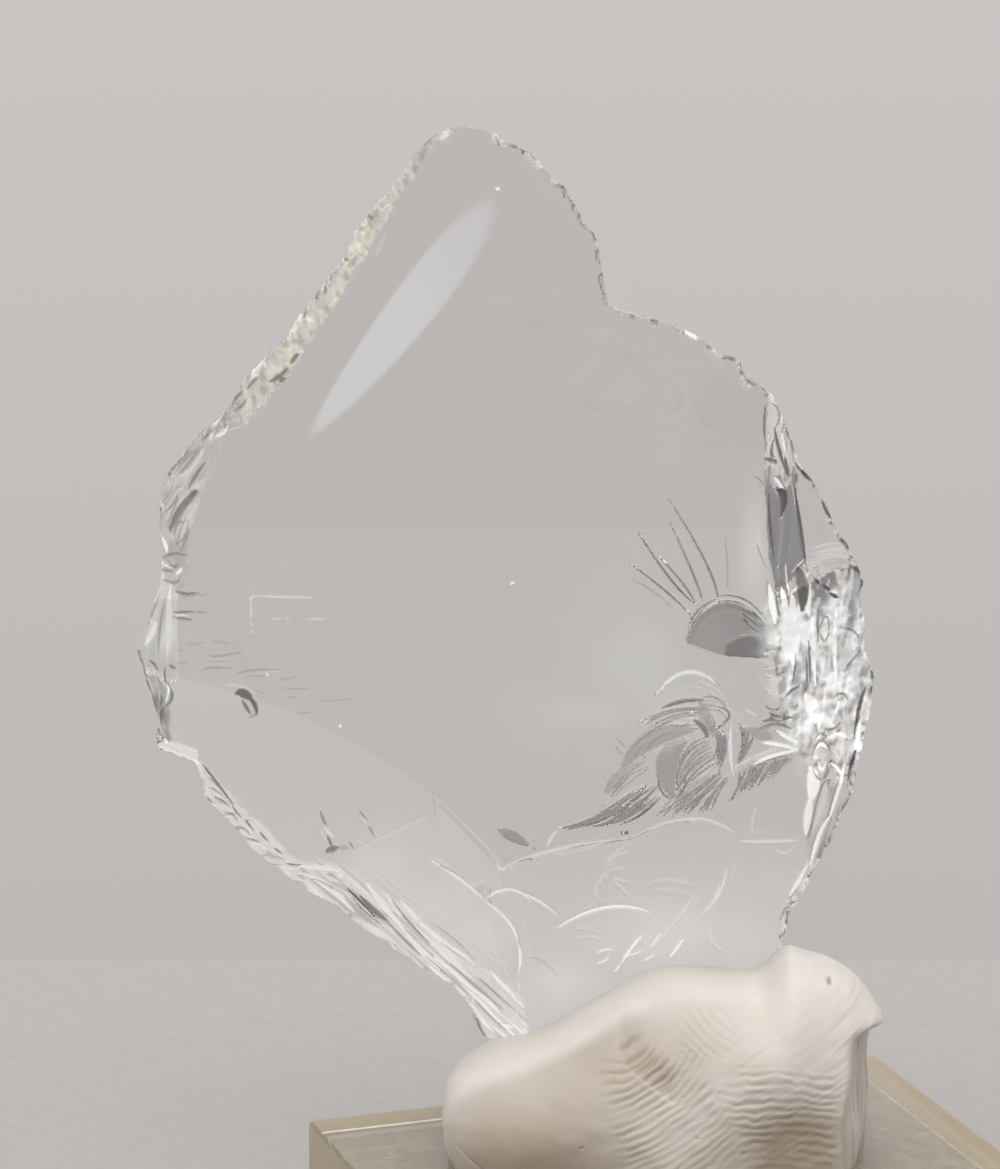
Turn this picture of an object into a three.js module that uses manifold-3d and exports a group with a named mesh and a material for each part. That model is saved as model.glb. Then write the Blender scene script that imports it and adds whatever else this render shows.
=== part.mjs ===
// Andara crystal on its display block: a clear, glass-like flake standing upright in a lump of putty
// on a small square slab of clear acrylic. Millimetres, +Z up, with the origin at the middle of the
// block's underside.

import * as THREE from 'three';
import { mergeVertices } from 'three/addons/utils/BufferGeometryUtils.js';
import Module from 'manifold-3d';

const wasm = await Module();
wasm.setup();

// ---------------------------------------------------------------- driving dimensions

const BLOCK = { side: 38.1, thick: 5, chamfer: 0.35 };

// The flake has a frame of its own: x along its broad face, y from the front to the back,
// z up from the block's top face. It stands turned on the block, towards the back edge.
const FLAKE = { x: -8.5, y: 13.3, turn: THREE.MathUtils.degToRad(-19) };
const FIT = 0.3;                          // clearance between the flake and the putty pressed round it
const WELD = 1e-4;                        // vertices closer than this are one

// A cutting sheet reaches past every edge of the flake, and its block of space far away from it.
const SHEET = { middle: 32, halfWide: 26, halfTall: 36, far: 30, drop: 3 };
const CELLS = {
  plain: [12, 16],
  broad: [18, 24],
  rough: [36, 50],
  step: [60, 60],
  blow: [44, 60],
  back: [24, 30],
};

// Outline of the flake [x, z], clockwise from the top. The last stretch is the foot, inside the putty.
const OUTLINE = [
  [-3.9, 60.8], [-3.0, 61.2], [-1.8, 61.4], [-0.6, 61.1], [0.3, 60.5], [1.8, 59.9], [2.6, 59.1],
  [3.2, 58.3], [4.1, 57.6], [4.5, 56.6], [5.2, 55.6], [5.7, 54.7], [5.9, 53.6], [6.1, 52.2],
  [6.6, 51.0], [8.2, 50.5], [10.5, 49.8], [12.0, 49.0], [13.0, 48.2], [13.9, 47.9], [14.5, 46.9],
  [15.5, 46.3], [16.4, 44.7], [17.0, 43.6], [17.5, 42.3], [17.9, 40.8], [19.0, 39.6], [19.4, 38.6],
  [20.2, 36.8], [21.0, 35.5], [21.8, 33.7], [22.0, 31.5], [22.1, 29.3], [22.6, 27.5], [22.3, 26.0],
  [21.9, 24.3], [21.3, 22.3], [20.6, 20.6], [19.9, 19.2], [19.2, 17.9], [18.5, 16.4], [17.9, 15.0],
  [17.4, 14.1], [17.2, 12.4], [16.4, 7.8], [14.8, 4.1], [12.0, 2.3], [8.1, 1.8], [3.7, 2.2], [1.0, 3.3],
  [-0.2, 4.7], [-1.1, 5.5], [-2.2, 7.7], [-3.2, 9.0], [-4.6, 9.9], [-6.0, 10.8], [-7.0, 11.7],
  [-8.2, 12.5], [-9.5, 13.7], [-10.7, 14.6], [-12.0, 15.4], [-13.8, 16.5], [-15.0, 17.4], [-15.7, 18.6],
  [-16.8, 19.7], [-17.7, 20.9], [-17.9, 22.6], [-18.5, 23.7], [-20.0, 23.8], [-20.5, 24.8],
  [-20.4, 25.9], [-20.8, 27.2], [-21.3, 28.6], [-21.8, 29.4], [-21.4, 30.6], [-20.8, 32.5],
  [-20.3, 33.9], [-20.2, 36.1], [-20.4, 37.7], [-20.1, 39.8], [-19.1, 41.4], [-18.1, 42.6],
  [-16.6, 43.8], [-15.7, 45.3], [-14.1, 47.3], [-12.7, 48.7], [-11.7, 50.2], [-10.5, 51.7],
  [-9.4, 53.2], [-8.8, 54.4], [-8.1, 55.7], [-6.8, 57.1], [-5.7, 58.6], [-4.8, 59.9],
];

// Every fracture face is a curved sheet y = f(x, z). `at` is a point [x, z] on it and `y` its depth there,
// `slope` is how it runs back per millimetre along x and z, and `bow` holds the radii of its curve:
// a positive radius curls the sheet towards the back, a negative one towards the front. `rough` is the
// height of its grit. `within` keeps a face to a window [x from, x to, z from, z to], past which the sheet
// drops away to the front by SHEET.drop per millimetre.
const VEIL = { at: [-6.9, 19.9], y: -2.45, slope: [-0.146, -0.348], bow: [-30, 300] };
const FRONT = {
  broad: { at: [-2, 36.9], y: -3.05, slope: [0, 0.075], bow: [180, 250] },
  shoulder: { at: [-10.6, 26.5], y: -3.41, slope: [-0.18, -0.24], bow: [-220, 300] },
  heel: { at: [-1.8, 19.7], y: -3.75, slope: [-0.37, -0.33], within: [-4.2, 1.6, 16, 22] },
  veil: { ...VEIL, within: [-14, -3.9, 0, 21.8] },
  veilToe: { ...VEIL, within: [-4, 1.3, 0, 16.2] },
  shin: {
    at: [-6, 13],
    y: 0.16,
    slope: [-0.322, -0.545],
    bow: [-34, -154],
    rough: 0.06,
    within: [-14.2, 30, -10, 19],
  },
  foot: { at: [11.5, 20.4], y: -3.24, slope: [0.075, -0.241], bow: [-250, 90] },
  leftBevel: { at: [-11.9, 50.6], y: 1.4, slope: [-1.53, 1.08], rough: 0.16, within: [-20, 0, 44.6, 64] },
  leftWall: {
    at: [-17.9, 39],
    y: -2.17,
    slope: [-2.2, 0.65],
    bow: [Infinity, 7.6],
    rough: 0.1,
    within: [-22, -14, 34.2, 46],
  },
  leftFacet: { at: [-19.3, 33], y: -2.0, slope: [-1.6, 0.05], within: [-23, -17, 29.0, 35.0] },
  leftHackle: { at: [-19.7, 27.4], y: -1.9, slope: [-1.5, -0.2], rough: 0.12, within: [-23, -17, 25.0, 30] },
  leftLedge: { at: [-19, 24.8], y: -1.62, slope: [-0.3, -0.7], within: [-22, -18, 23.2, 26.4] },
  notch: { at: [-14.6, 19.9], y: -1.07, slope: [-0.9, -0.92], rough: 0.1, within: [-20, -11.8, 14, 24] },
  rightWall: { at: [17.8, 21], y: -2.9, slope: [0.6, -0.1] },
};

// The step in the right edge: a steep wall, the thin ear behind it and the ledge under both.
const STEP = {
  wall: { at: [15.75, 37.5], y: -2.15, slope: [2, 0.24], bow: [Infinity, -30] },
  ear: { at: [18.2, 36.5], y: 2.1, slope: [0.2, -0.02], bow: [60, 60] },
  ledge: { at: [17.8, 33.4], y: -3, slope: [0.3, 3] },
};

// The crushed scoop under the ear, where the blow that split the flake landed.
const BLOW = { at: [17.5, 26.8], y: -2, slope: [1.2, 0.4], bow: [-9, -14], rough: 0.22 };

const BACK = {
  broad: { at: [0, 24], y: 4.6, slope: [0, 0], bow: [-250, -220] },
  topScoop: { at: [2.9, 58.2], y: 0.35, slope: [-0.28, -0.13], bow: [60, 60] },
  rightScoop: { at: [10.8, 49.2], y: -0.5, slope: [-0.18, -0.38], bow: [40, 15] },
};
const BACK_BLEND = 0.8; // the three back faces run into each other without a sharp ridge

// Shell-shaped chips in the back face: `at` is the deepest point, `deep` the depth there and `wide`
// the half-widths along x and z.
const BACK_CHIPS = {
  lens: { at: [13.4, 29.5], deep: 0.8, wide: [2.5, 3.25], flat: -0.04 },
  fan: { at: [11.8, 22.8], deep: 0.8, wide: [5, 2.9], turn: 0.42 },
  pip: { at: [-14.9, 27.0], deep: 0.4, wide: [0.5, 0.8] },
  slot: { at: [0.8, 18.2], deep: 0.4, wide: [1.0, 0.35], turn: -0.5 },
};

// Putty: a hand-pressed lump, measured in the flake's frame, that starts as a ball. `square` says how far
// each side is squared up, 0 for a round one. `crest` is the height at the left end, and what the middle
// and the lobe on the right add to it. `upright` makes the sides stand steeper as it gets smaller, and
// `peak` keeps the lobe to the top as it gets larger.
const PUTTY = {
  middle: { x: 9.3, y: -3.1, z: 2 },
  half: { left: 12.8, right: 13.4, depth: 10.5 },
  square: { left: 0.25, right: 0.5, depth: 0.25 },
  upright: 0.8,
  peak: 4,
  crest: { least: 4.65, middle: 4.25, lobe: 2.2 },
  middleFrom: 0.2,
  middleTo: 11.2,
  lobeFrom: 15.0,
  lobeTo: 17.6,
  frontFrom: -3,
  frontTo: -6,
  hollows: [
    { at: [9.5, 6.6], size: [3.2, 2.6], deep: 0.9 },
    { at: [17.2, 4.4], size: [3.4, 3.2], deep: 1.1 },
  ],
  wall: { x: 20.5, y: -9, slope: 0.2 },               // the flat right side, under the lobe's lip
  lip: { z: 7.4, y: -1, slope: -0.2, half: 0.5 },
};

// ---------------------------------------------------------------- solids from meshes

function solid(geometry) {
  const bare = geometry.clone();
  bare.deleteAttribute('normal');
  bare.deleteAttribute('uv');
  const merged = mergeVertices(bare, WELD);
  return new wasm.Manifold(new wasm.Mesh({
    numProp: 3,
    vertProperties: new Float32Array(merged.attributes.position.array),
    triVerts: new Uint32Array(merged.index.array),
  }));
}

function geometryOf(body) {
  const mesh = body.getMesh();
  const geometry = new THREE.BufferGeometry();
  geometry.setAttribute('position', new THREE.BufferAttribute(new Float32Array(mesh.vertProperties), 3));
  geometry.setIndex(new THREE.BufferAttribute(new Uint32Array(mesh.triVerts), 1));
  geometry.computeVertexNormals();
  return geometry;
}

// ---------------------------------------------------------------- fracture faces

// A repeatable roughness between -1 and 1, for crushed glass.
function grit(x, z) {
  const swing = Math.sin(x * 12.9898 + z * 78.233) * 43758.5453;
  return 2 * (swing - Math.floor(swing)) - 1;
}

function sheet(face) {
  const [bowX, bowZ] = face.bow ?? [Infinity, Infinity];
  const [fromX, toX, fromZ, toZ] = face.within ?? [-Infinity, Infinity, -Infinity, Infinity];
  const rough = face.rough ?? 0;
  return (x, z) => {
    const dx = x - face.at[0];
    const dz = z - face.at[1];
    const plane = face.y + face.slope[0] * dx + face.slope[1] * dz;
    const outside = Math.max(0, fromX - x, x - toX, fromZ - z, z - toZ);
    return plane + dx * dx / (2 * bowX) + dz * dz / (2 * bowZ) + rough * grit(x, z) - SHEET.drop * outside;
  };
}

// How far a sheet moves along y for each millimetre that it moves square to itself.
function steepness(face) {
  return Math.hypot(1, face.slope[0], face.slope[1]);
}

// The lower of several sheets, rounded where they cross.
function softLower(sheets, blend) {
  return (x, z) => {
    const depths = sheets.map((one) => one(x, z));
    const low = Math.min(...depths);
    return low - blend * Math.log(depths.reduce((sum, depth) => sum + Math.exp((low - depth) / blend), 0));
  };
}

// The block of space in front of a sheet (side -1) or behind it (side 1), with `cells` across and up.
function spaceBeside(depthAt, side, cells) {
  const box = new THREE.BoxGeometry(2 * SHEET.halfWide, 2, 2 * SHEET.halfTall, cells[0], 1, cells[1]);
  const place = box.attributes.position;
  for (let i = 0; i < place.count; i++) {
    const x = place.getX(i);
    const z = place.getZ(i) + SHEET.middle;
    const onSheet = place.getY(i) * side < 0;
    place.setY(i, onSheet ? depthAt(x, z) : side * SHEET.far);
    place.setZ(i, z);
  }
  return solid(box);
}

function outlinePrism(grow) {
  const middle = new THREE.Vector2(1, 30);
  const points = OUTLINE.map(([x, z]) => {
    const point = new THREE.Vector2(x, z);
    const outward = point.clone().sub(middle).normalize();
    return point.addScaledVector(outward, grow);
  });
  const shape = new THREE.Shape(points);
  const prism = new THREE.ExtrudeGeometry(shape, { depth: 2 * SHEET.far, bevelEnabled: false });
  prism.rotateX(Math.PI / 2).translate(0, SHEET.far, 0);
  return solid(prism);
}

// A shell-shaped chip: a flattened ball pushed into the back face, its lower part cut straight if `flat`
// is set.
function backChip(chip, backAt) {
  const [x, z] = chip.at;
  const ball = new THREE.SphereGeometry(1, 18, 12);
  ball.scale(chip.wide[0], chip.deep, chip.wide[1]);
  ball.rotateY(-(chip.turn ?? 0));
  ball.translate(x, backAt(x, z), z);
  const whole = solid(ball);
  if (chip.flat === undefined) return whole;
  const floor = z + chip.flat * chip.wide[1];
  const keep = new THREE.BoxGeometry(20, 20, 20).translate(x, backAt(x, z), floor + 10);
  return whole.intersect(solid(keep));
}

// `grow` makes the flake larger all round, for the pocket that it leaves in the putty.
function makeFlake(grow) {
  const backAt = softLower(Object.values(BACK).map(sheet), BACK_BLEND);
  const stepWall = sheet(STEP.wall);
  const stepEar = sheet(STEP.ear);
  const stepLedge = sheet(STEP.ledge);
  const step = (x, z) => Math.min(stepWall(x, z), stepEar(x, z), stepLedge(x, z));

  let flake = outlinePrism(grow);
  for (const [name, face] of Object.entries(FRONT)) {
    const depthAt = sheet(face);
    const lift = grow * steepness(face);
    const cells = name === 'broad' ? CELLS.broad : face.rough ? CELLS.rough : CELLS.plain;
    flake = flake.subtract(spaceBeside((x, z) => depthAt(x, z) - lift, -1, cells));
  }
  flake = flake.subtract(spaceBeside((x, z) => step(x, z) - grow, -1, CELLS.step));
  const blow = sheet(BLOW);
  const blowLift = grow * steepness(BLOW);
  flake = flake.subtract(spaceBeside((x, z) => blow(x, z) - blowLift, -1, CELLS.blow));
  flake = flake.subtract(spaceBeside((x, z) => backAt(x, z) + grow, 1, CELLS.back));
  if (grow === 0) {
    for (const chip of Object.values(BACK_CHIPS)) flake = flake.subtract(backChip(chip, backAt));
  }
  return flake;
}

// ---------------------------------------------------------------- putty

function makePutty() {
  const ball = new THREE.SphereGeometry(1, 48, 32);
  ball.rotateX(Math.PI / 2);
  const place = ball.attributes.position;
  const spot = new THREE.Vector3();
  for (let i = 0; i < place.count; i++) {
    spot.fromBufferAttribute(place, i);
    spot.copy(puttySkin(spot));
    place.setXYZ(i, spot.x, spot.y, spot.z);
  }
  const above = new THREE.BoxGeometry(80, 80, 40).translate(0, 0, 20);
  return solid(ball).intersect(solid(above)).subtract(makeFlake(FIT));
}

// Bulges a value from -1 to 1 outwards, so that the side of a ball gets flatter.
function squared(value, amount) {
  return (1 + amount) * value - amount * value ** 3;
}

// Carries a point of the unit ball to the putty's skin: low at the left end, high at the right, with the
// hollows that thumbs left in its front, and pressed flat on the right below a lip.
function puttySkin(unit) {
  const { middle, half, square, upright, peak, crest, hollows, wall, lip } = PUTTY;
  const { smoothstep } = THREE.MathUtils;
  const end = unit.x < 0 ? 'left' : 'right';
  const skin = new THREE.Vector3();
  skin.x = middle.x + half[end] * squared(unit.x, square[end]);
  skin.y = middle.y + half.depth * squared(unit.y, square.depth);
  const height = crest.least + crest.middle * smoothstep(skin.x, PUTTY.middleFrom, PUTTY.middleTo);
  const up = Math.max(0, unit.z) / Math.max(WELD, Math.hypot(unit.y, unit.z));
  const lobe = crest.lobe * smoothstep(skin.x, PUTTY.lobeFrom, PUTTY.lobeTo) * up ** peak;
  skin.z = middle.z + height * Math.sign(unit.z) * Math.abs(unit.z) ** upright + lobe;
  const front = 1 - smoothstep(skin.y, PUTTY.frontTo, PUTTY.frontFrom);
  for (const hollow of hollows) {
    const across = (skin.x - hollow.at[0]) / hollow.size[0];
    const above = (skin.z - hollow.at[1]) / hollow.size[1];
    skin.y += hollow.deep * front * Math.exp(-(across * across + above * above));
  }
  const wallX = wall.x + wall.slope * (skin.y - wall.y);
  const lipZ = lip.z + lip.slope * (skin.y - lip.y);
  const below = 1 - smoothstep(skin.z, lipZ - lip.half, lipZ + lip.half);
  skin.x -= Math.max(0, skin.x - wallX) * below;
  return skin;
}

// ---------------------------------------------------------------- block

function makeBlock() {
  const { side, thick, chamfer } = BLOCK;
  const half = side / 2 - chamfer;
  const square = new THREE.Shape([
    new THREE.Vector2(-half, -half),
    new THREE.Vector2(half, -half),
    new THREE.Vector2(half, half),
    new THREE.Vector2(-half, half),
  ]);
  const slab = new THREE.ExtrudeGeometry(square, {
    depth: thick - 2 * chamfer,
    bevelThickness: chamfer,
    bevelSize: chamfer,
    bevelSegments: 2,
  });
  slab.translate(0, 0, chamfer);
  return slab;
}

// ---------------------------------------------------------------- assembly

function named(name, geometry, colour, roughness) {
  const finish = { color: colour, roughness, metalness: 0, flatShading: true };
  const mesh = new THREE.Mesh(geometry, new THREE.MeshStandardMaterial(finish));
  mesh.name = name;
  return mesh;
}

const specimen = new THREE.Group();
specimen.position.set(FLAKE.x, FLAKE.y, BLOCK.thick);
specimen.rotation.z = FLAKE.turn;
specimen.add(named('crystal', geometryOf(makeFlake(0)), 0xdfe3e2, 0.03));
specimen.add(named('putty', geometryOf(makePutty()), 0xe2d9cc, 0.75));

const model = new THREE.Group();
model.add(named('acrylic_block', makeBlock(), 0xcfc59a, 0.08));
model.add(specimen);

export default model;
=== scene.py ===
"""A clear andara crystal flake standing in putty on a small acrylic block."""

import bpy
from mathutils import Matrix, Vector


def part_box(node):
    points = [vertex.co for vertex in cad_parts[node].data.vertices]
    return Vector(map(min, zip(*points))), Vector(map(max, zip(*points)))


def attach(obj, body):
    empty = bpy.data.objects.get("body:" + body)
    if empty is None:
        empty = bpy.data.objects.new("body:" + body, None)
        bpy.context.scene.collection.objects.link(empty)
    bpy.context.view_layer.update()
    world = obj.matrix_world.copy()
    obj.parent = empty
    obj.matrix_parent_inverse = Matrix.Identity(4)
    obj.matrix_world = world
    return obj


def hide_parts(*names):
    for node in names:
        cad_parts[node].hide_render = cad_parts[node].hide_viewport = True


bl_info = {
    "name": "Andara crystal",
    "version": (1, 0, 0),
    "blender": (4, 5, 0),
    "location": "3D View > Sidebar > Andara crystal",
    "description": "Builds a clear crystal flake, the putty that holds it and its acrylic block",
    "category": "Object",
}

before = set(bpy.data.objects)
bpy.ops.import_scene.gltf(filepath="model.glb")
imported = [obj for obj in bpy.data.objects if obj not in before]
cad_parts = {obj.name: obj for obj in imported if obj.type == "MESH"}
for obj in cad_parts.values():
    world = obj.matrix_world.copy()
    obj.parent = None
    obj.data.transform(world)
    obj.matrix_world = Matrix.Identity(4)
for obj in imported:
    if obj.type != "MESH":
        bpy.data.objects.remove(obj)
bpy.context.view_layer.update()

import math

import bmesh
import bpy
import numpy as np
from bpy.props import FloatProperty, FloatVectorProperty, PointerProperty
from mathutils import Matrix, Vector

MM = 0.001

# ------------------------------------------------------------------ places and sizes, millimetres

BLOCK_LOW, BLOCK_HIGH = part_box("acrylic_block")
BLOCK_TOP = BLOCK_HIGH.z / MM

# The flake's own frame: x along its broad face, y from the front to the back, z up from the block.
FLAKE_X, FLAKE_Y = -8.5, 13.3
FLAKE_TURN = math.radians(-19)
TO_ROW = (
    Matrix.Translation((FLAKE_X * MM, FLAKE_Y * MM, BLOCK_TOP * MM))
    @ Matrix.Rotation(FLAKE_TURN, 4, "Z")
    @ Matrix.Scale(MM, 4)
)

# The flake's outline, clockwise from its top, as x and z.
OUTLINE = [
    (-3.9, 60.8), (-3.0, 61.2), (-1.8, 61.4), (-0.6, 61.1), (0.3, 60.5), (1.8, 59.9), (2.6, 59.1),
    (3.2, 58.3), (4.1, 57.6), (4.5, 56.6), (5.2, 55.6), (5.7, 54.7), (5.9, 53.6), (6.1, 52.2), (6.6, 51.0),
    (8.2, 50.5), (10.5, 49.8), (12.0, 49.0), (13.0, 48.2), (13.9, 47.9), (14.5, 46.9), (15.5, 46.3),
    (16.4, 44.7), (17.0, 43.6), (17.5, 42.3), (17.9, 40.8), (19.0, 39.6), (19.4, 38.6), (20.2, 36.8),
    (21.0, 35.5), (21.8, 33.7), (22.0, 31.5), (22.1, 29.3), (22.6, 27.5), (22.3, 26.0), (21.9, 24.3),
    (21.3, 22.3), (20.6, 20.6), (19.9, 19.2), (19.2, 17.9), (18.5, 16.4), (17.9, 15.0), (17.4, 14.1),
    (17.2, 12.4), (16.4, 7.8), (14.8, 4.1), (12.0, 2.3), (8.1, 1.8), (3.7, 2.2), (1.0, 3.3), (-0.2, 4.7),
    (-1.1, 5.5), (-2.2, 7.7), (-3.2, 9.0), (-4.6, 9.9), (-6.0, 10.8), (-7.0, 11.7), (-8.2, 12.5),
    (-9.5, 13.7), (-10.7, 14.6), (-12.0, 15.4), (-13.8, 16.5), (-15.0, 17.4), (-15.7, 18.6), (-16.8, 19.7),
    (-17.7, 20.9), (-17.9, 22.6), (-18.5, 23.7), (-20.0, 23.8), (-20.5, 24.8), (-20.4, 25.9), (-20.8, 27.2),
    (-21.3, 28.6), (-21.8, 29.4), (-21.4, 30.6), (-20.8, 32.5), (-20.3, 33.9), (-20.2, 36.1), (-20.4, 37.7),
    (-20.1, 39.8), (-19.1, 41.4), (-18.1, 42.6), (-16.6, 43.8), (-15.7, 45.3), (-14.1, 47.3), (-12.7, 48.7),
    (-11.7, 50.2), (-10.5, 51.7), (-9.4, 53.2), (-8.8, 54.4), (-8.1, 55.7), (-6.8, 57.1), (-5.7, 58.6),
    (-4.8, 59.9),
]

# Fracture faces y = f(x, z): a point on each, its depth there, its slope along x and z, the radii of
# its curve and the windows, convex and clockwise, that it keeps to.
FLAT = (math.inf, math.inf)


def box(from_x, to_x, from_z, to_z):
    """The corners of an upright window."""
    return ((from_x, from_z), (from_x, to_z), (to_x, to_z), (to_x, from_z))


KNUCKLE, TURN_IN = (-3.6, 21.8), (-3.9, 18.1)       # where the lower faces meet below the broad one
HEEL_END, ARC_START = (0.1, 17.9), (-1.5, 16.2)
FRONT = {
    "broad": dict(at=(-2, 36.9), y=-3.05, slope=(0, 0.075), bow=(180, 250)),
    "shoulder": dict(
        at=(-10.6, 26.5), y=-3.41, slope=(-0.18, -0.24), bow=(-220, 300),
        windows=[((-40, 0), (-40, 60), (-10, 60), KNUCKLE, (-3.9, 0))],
    ),
    "heel": dict(
        at=(-1.8, 19.7), y=-3.75, slope=(-0.37, -0.33),
        windows=[(KNUCKLE, HEEL_END, (1.4, 16.3), ARC_START, TURN_IN)],
    ),
    "veil": dict(
        at=(-6.9, 19.9), y=-2.45, slope=(-0.146, -0.348), bow=(-30, 300),
        windows=[
            ((-14, 0), (-14, 15.7), KNUCKLE, TURN_IN, (-3.9, 0)),
            ((-14, 0), (-14, 12), TURN_IN, ARC_START, (0.6, 14.1), (1.2, 10.3), (1.5, 0)),
        ],
    ),
    "shin": dict(
        at=(-6, 13), y=0.16, slope=(-0.322, -0.545), bow=(-34, -154), windows=[box(-14.2, 30, -10, 19)],
    ),
    "foot": dict(at=(11.5, 20.4), y=-3.24, slope=(0.075, -0.241), bow=(-250, 90)),
    "left_bevel": dict(
        at=(-11.9, 50.6), y=1.4, slope=(-1.53, 1.08),
        windows=[((-20, 44.4), (-20, 64), (0, 64), (0, 58), (-12.3, 47), (-15.2, 44.5))],
    ),
    "left_wall": dict(
        at=(-17.9, 39), y=-2.17, slope=(-2.2, 0.65), bow=(math.inf, 7.6), windows=[box(-22, -14, 34.2, 46)]
    ),
    "left_facet": dict(at=(-19.3, 33), y=-2.0, slope=(-1.6, 0.05), windows=[box(-23, -17, 29.0, 35.0)]),
    "left_hackle": dict(at=(-19.7, 27.4), y=-1.9, slope=(-1.5, -0.2), windows=[box(-23, -17, 25.0, 30)]),
    "left_ledge": dict(at=(-19, 24.8), y=-1.62, slope=(-0.3, -0.7), windows=[box(-22, -18.0, 23.2, 26.4)]),
    "notch": dict(at=(-14.6, 19.9), y=-1.07, slope=(-0.9, -0.92), windows=[box(-20, -11.8, 14, 24)]),
    "right_wall": dict(at=(17.8, 21), y=-2.9, slope=(0.6, -0.1)),
    "blow": dict(at=(17.5, 26.8), y=-2, slope=(1.2, 0.4), bow=(-9, -14)),
}
STEP = {
    "wall": dict(at=(15.75, 37.5), y=-2.15, slope=(2, 0.24), bow=(math.inf, -30)),
    "ear": dict(at=(18.2, 36.5), y=2.1, slope=(0.2, -0.02), bow=(60, 60)),
    "ledge": dict(at=(17.8, 33.4), y=-3, slope=(0.3, 3)),
}
BACK = {
    "broad": dict(at=(0, 24), y=4.6, slope=(0, 0), bow=(-250, -220)),
    "top_scoop": dict(at=(2.9, 58.2), y=0.35, slope=(-0.28, -0.13), bow=(60, 60)),
    "right_scoop": dict(at=(10.8, 49.2), y=-0.5, slope=(-0.18, -0.38), bow=(40, 15)),
}
DROP = 3            # how steeply a face falls away outside its windows
RIDGE_ROUND = 0.02  # softness of the ridges between front faces
BACK_BLEND = 0.8    # the three back faces run into each other
SMOOTH_FACES = ("broad", "shoulder", "heel", "veil", "foot")
# Grooves on the rough faces: height, direction in degrees, pitch, length and seed.
GROOVES = {
    "left_wall": (0.16, 58, 0.55, 2.2, 21),
    "left_hackle": (0.14, -60, 0.5, 1.6, 25),
    "notch": (0.12, 20, 0.5, 1.4, 27),
    "shin": (0.07, -42, 0.9, 9.0, 29),
    "right_wall": (0.05, 75, 0.5, 4.0, 31),
    "step": (0.12, 84, 0.4, 3.5, 33),
    "blow": (0.12, 80, 0.5, 2.5, 37),
}


def ink(dark, half, deep, *curves, count=0, edge=0.6, shake=0.0, white=0.0):
    """A family of dark strokes, each a curve through three points x, z, whose darkness is painted shade.

    One stroke lies on each curve, or `count` of them are spread from the first curve to the last, each
    shaken a little. `half` is half their width, `deep` how far they cut in (negative for raised ones) and
    `edge` their softness.
    """
    family = dict(dark=dark, white=white, half=half, deep=deep, edge=edge, shake=shake)
    return dict(family, keys=np.reshape(curves, (-1, 3, 2)), count=count or len(curves))


def chalk(white, *rest, **more):
    """A family of white strokes, given in the same way: painted highlights, with crushed white on the
    crushed glass.
    """
    return ink(0.0, *rest, white=white, **more)
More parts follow.
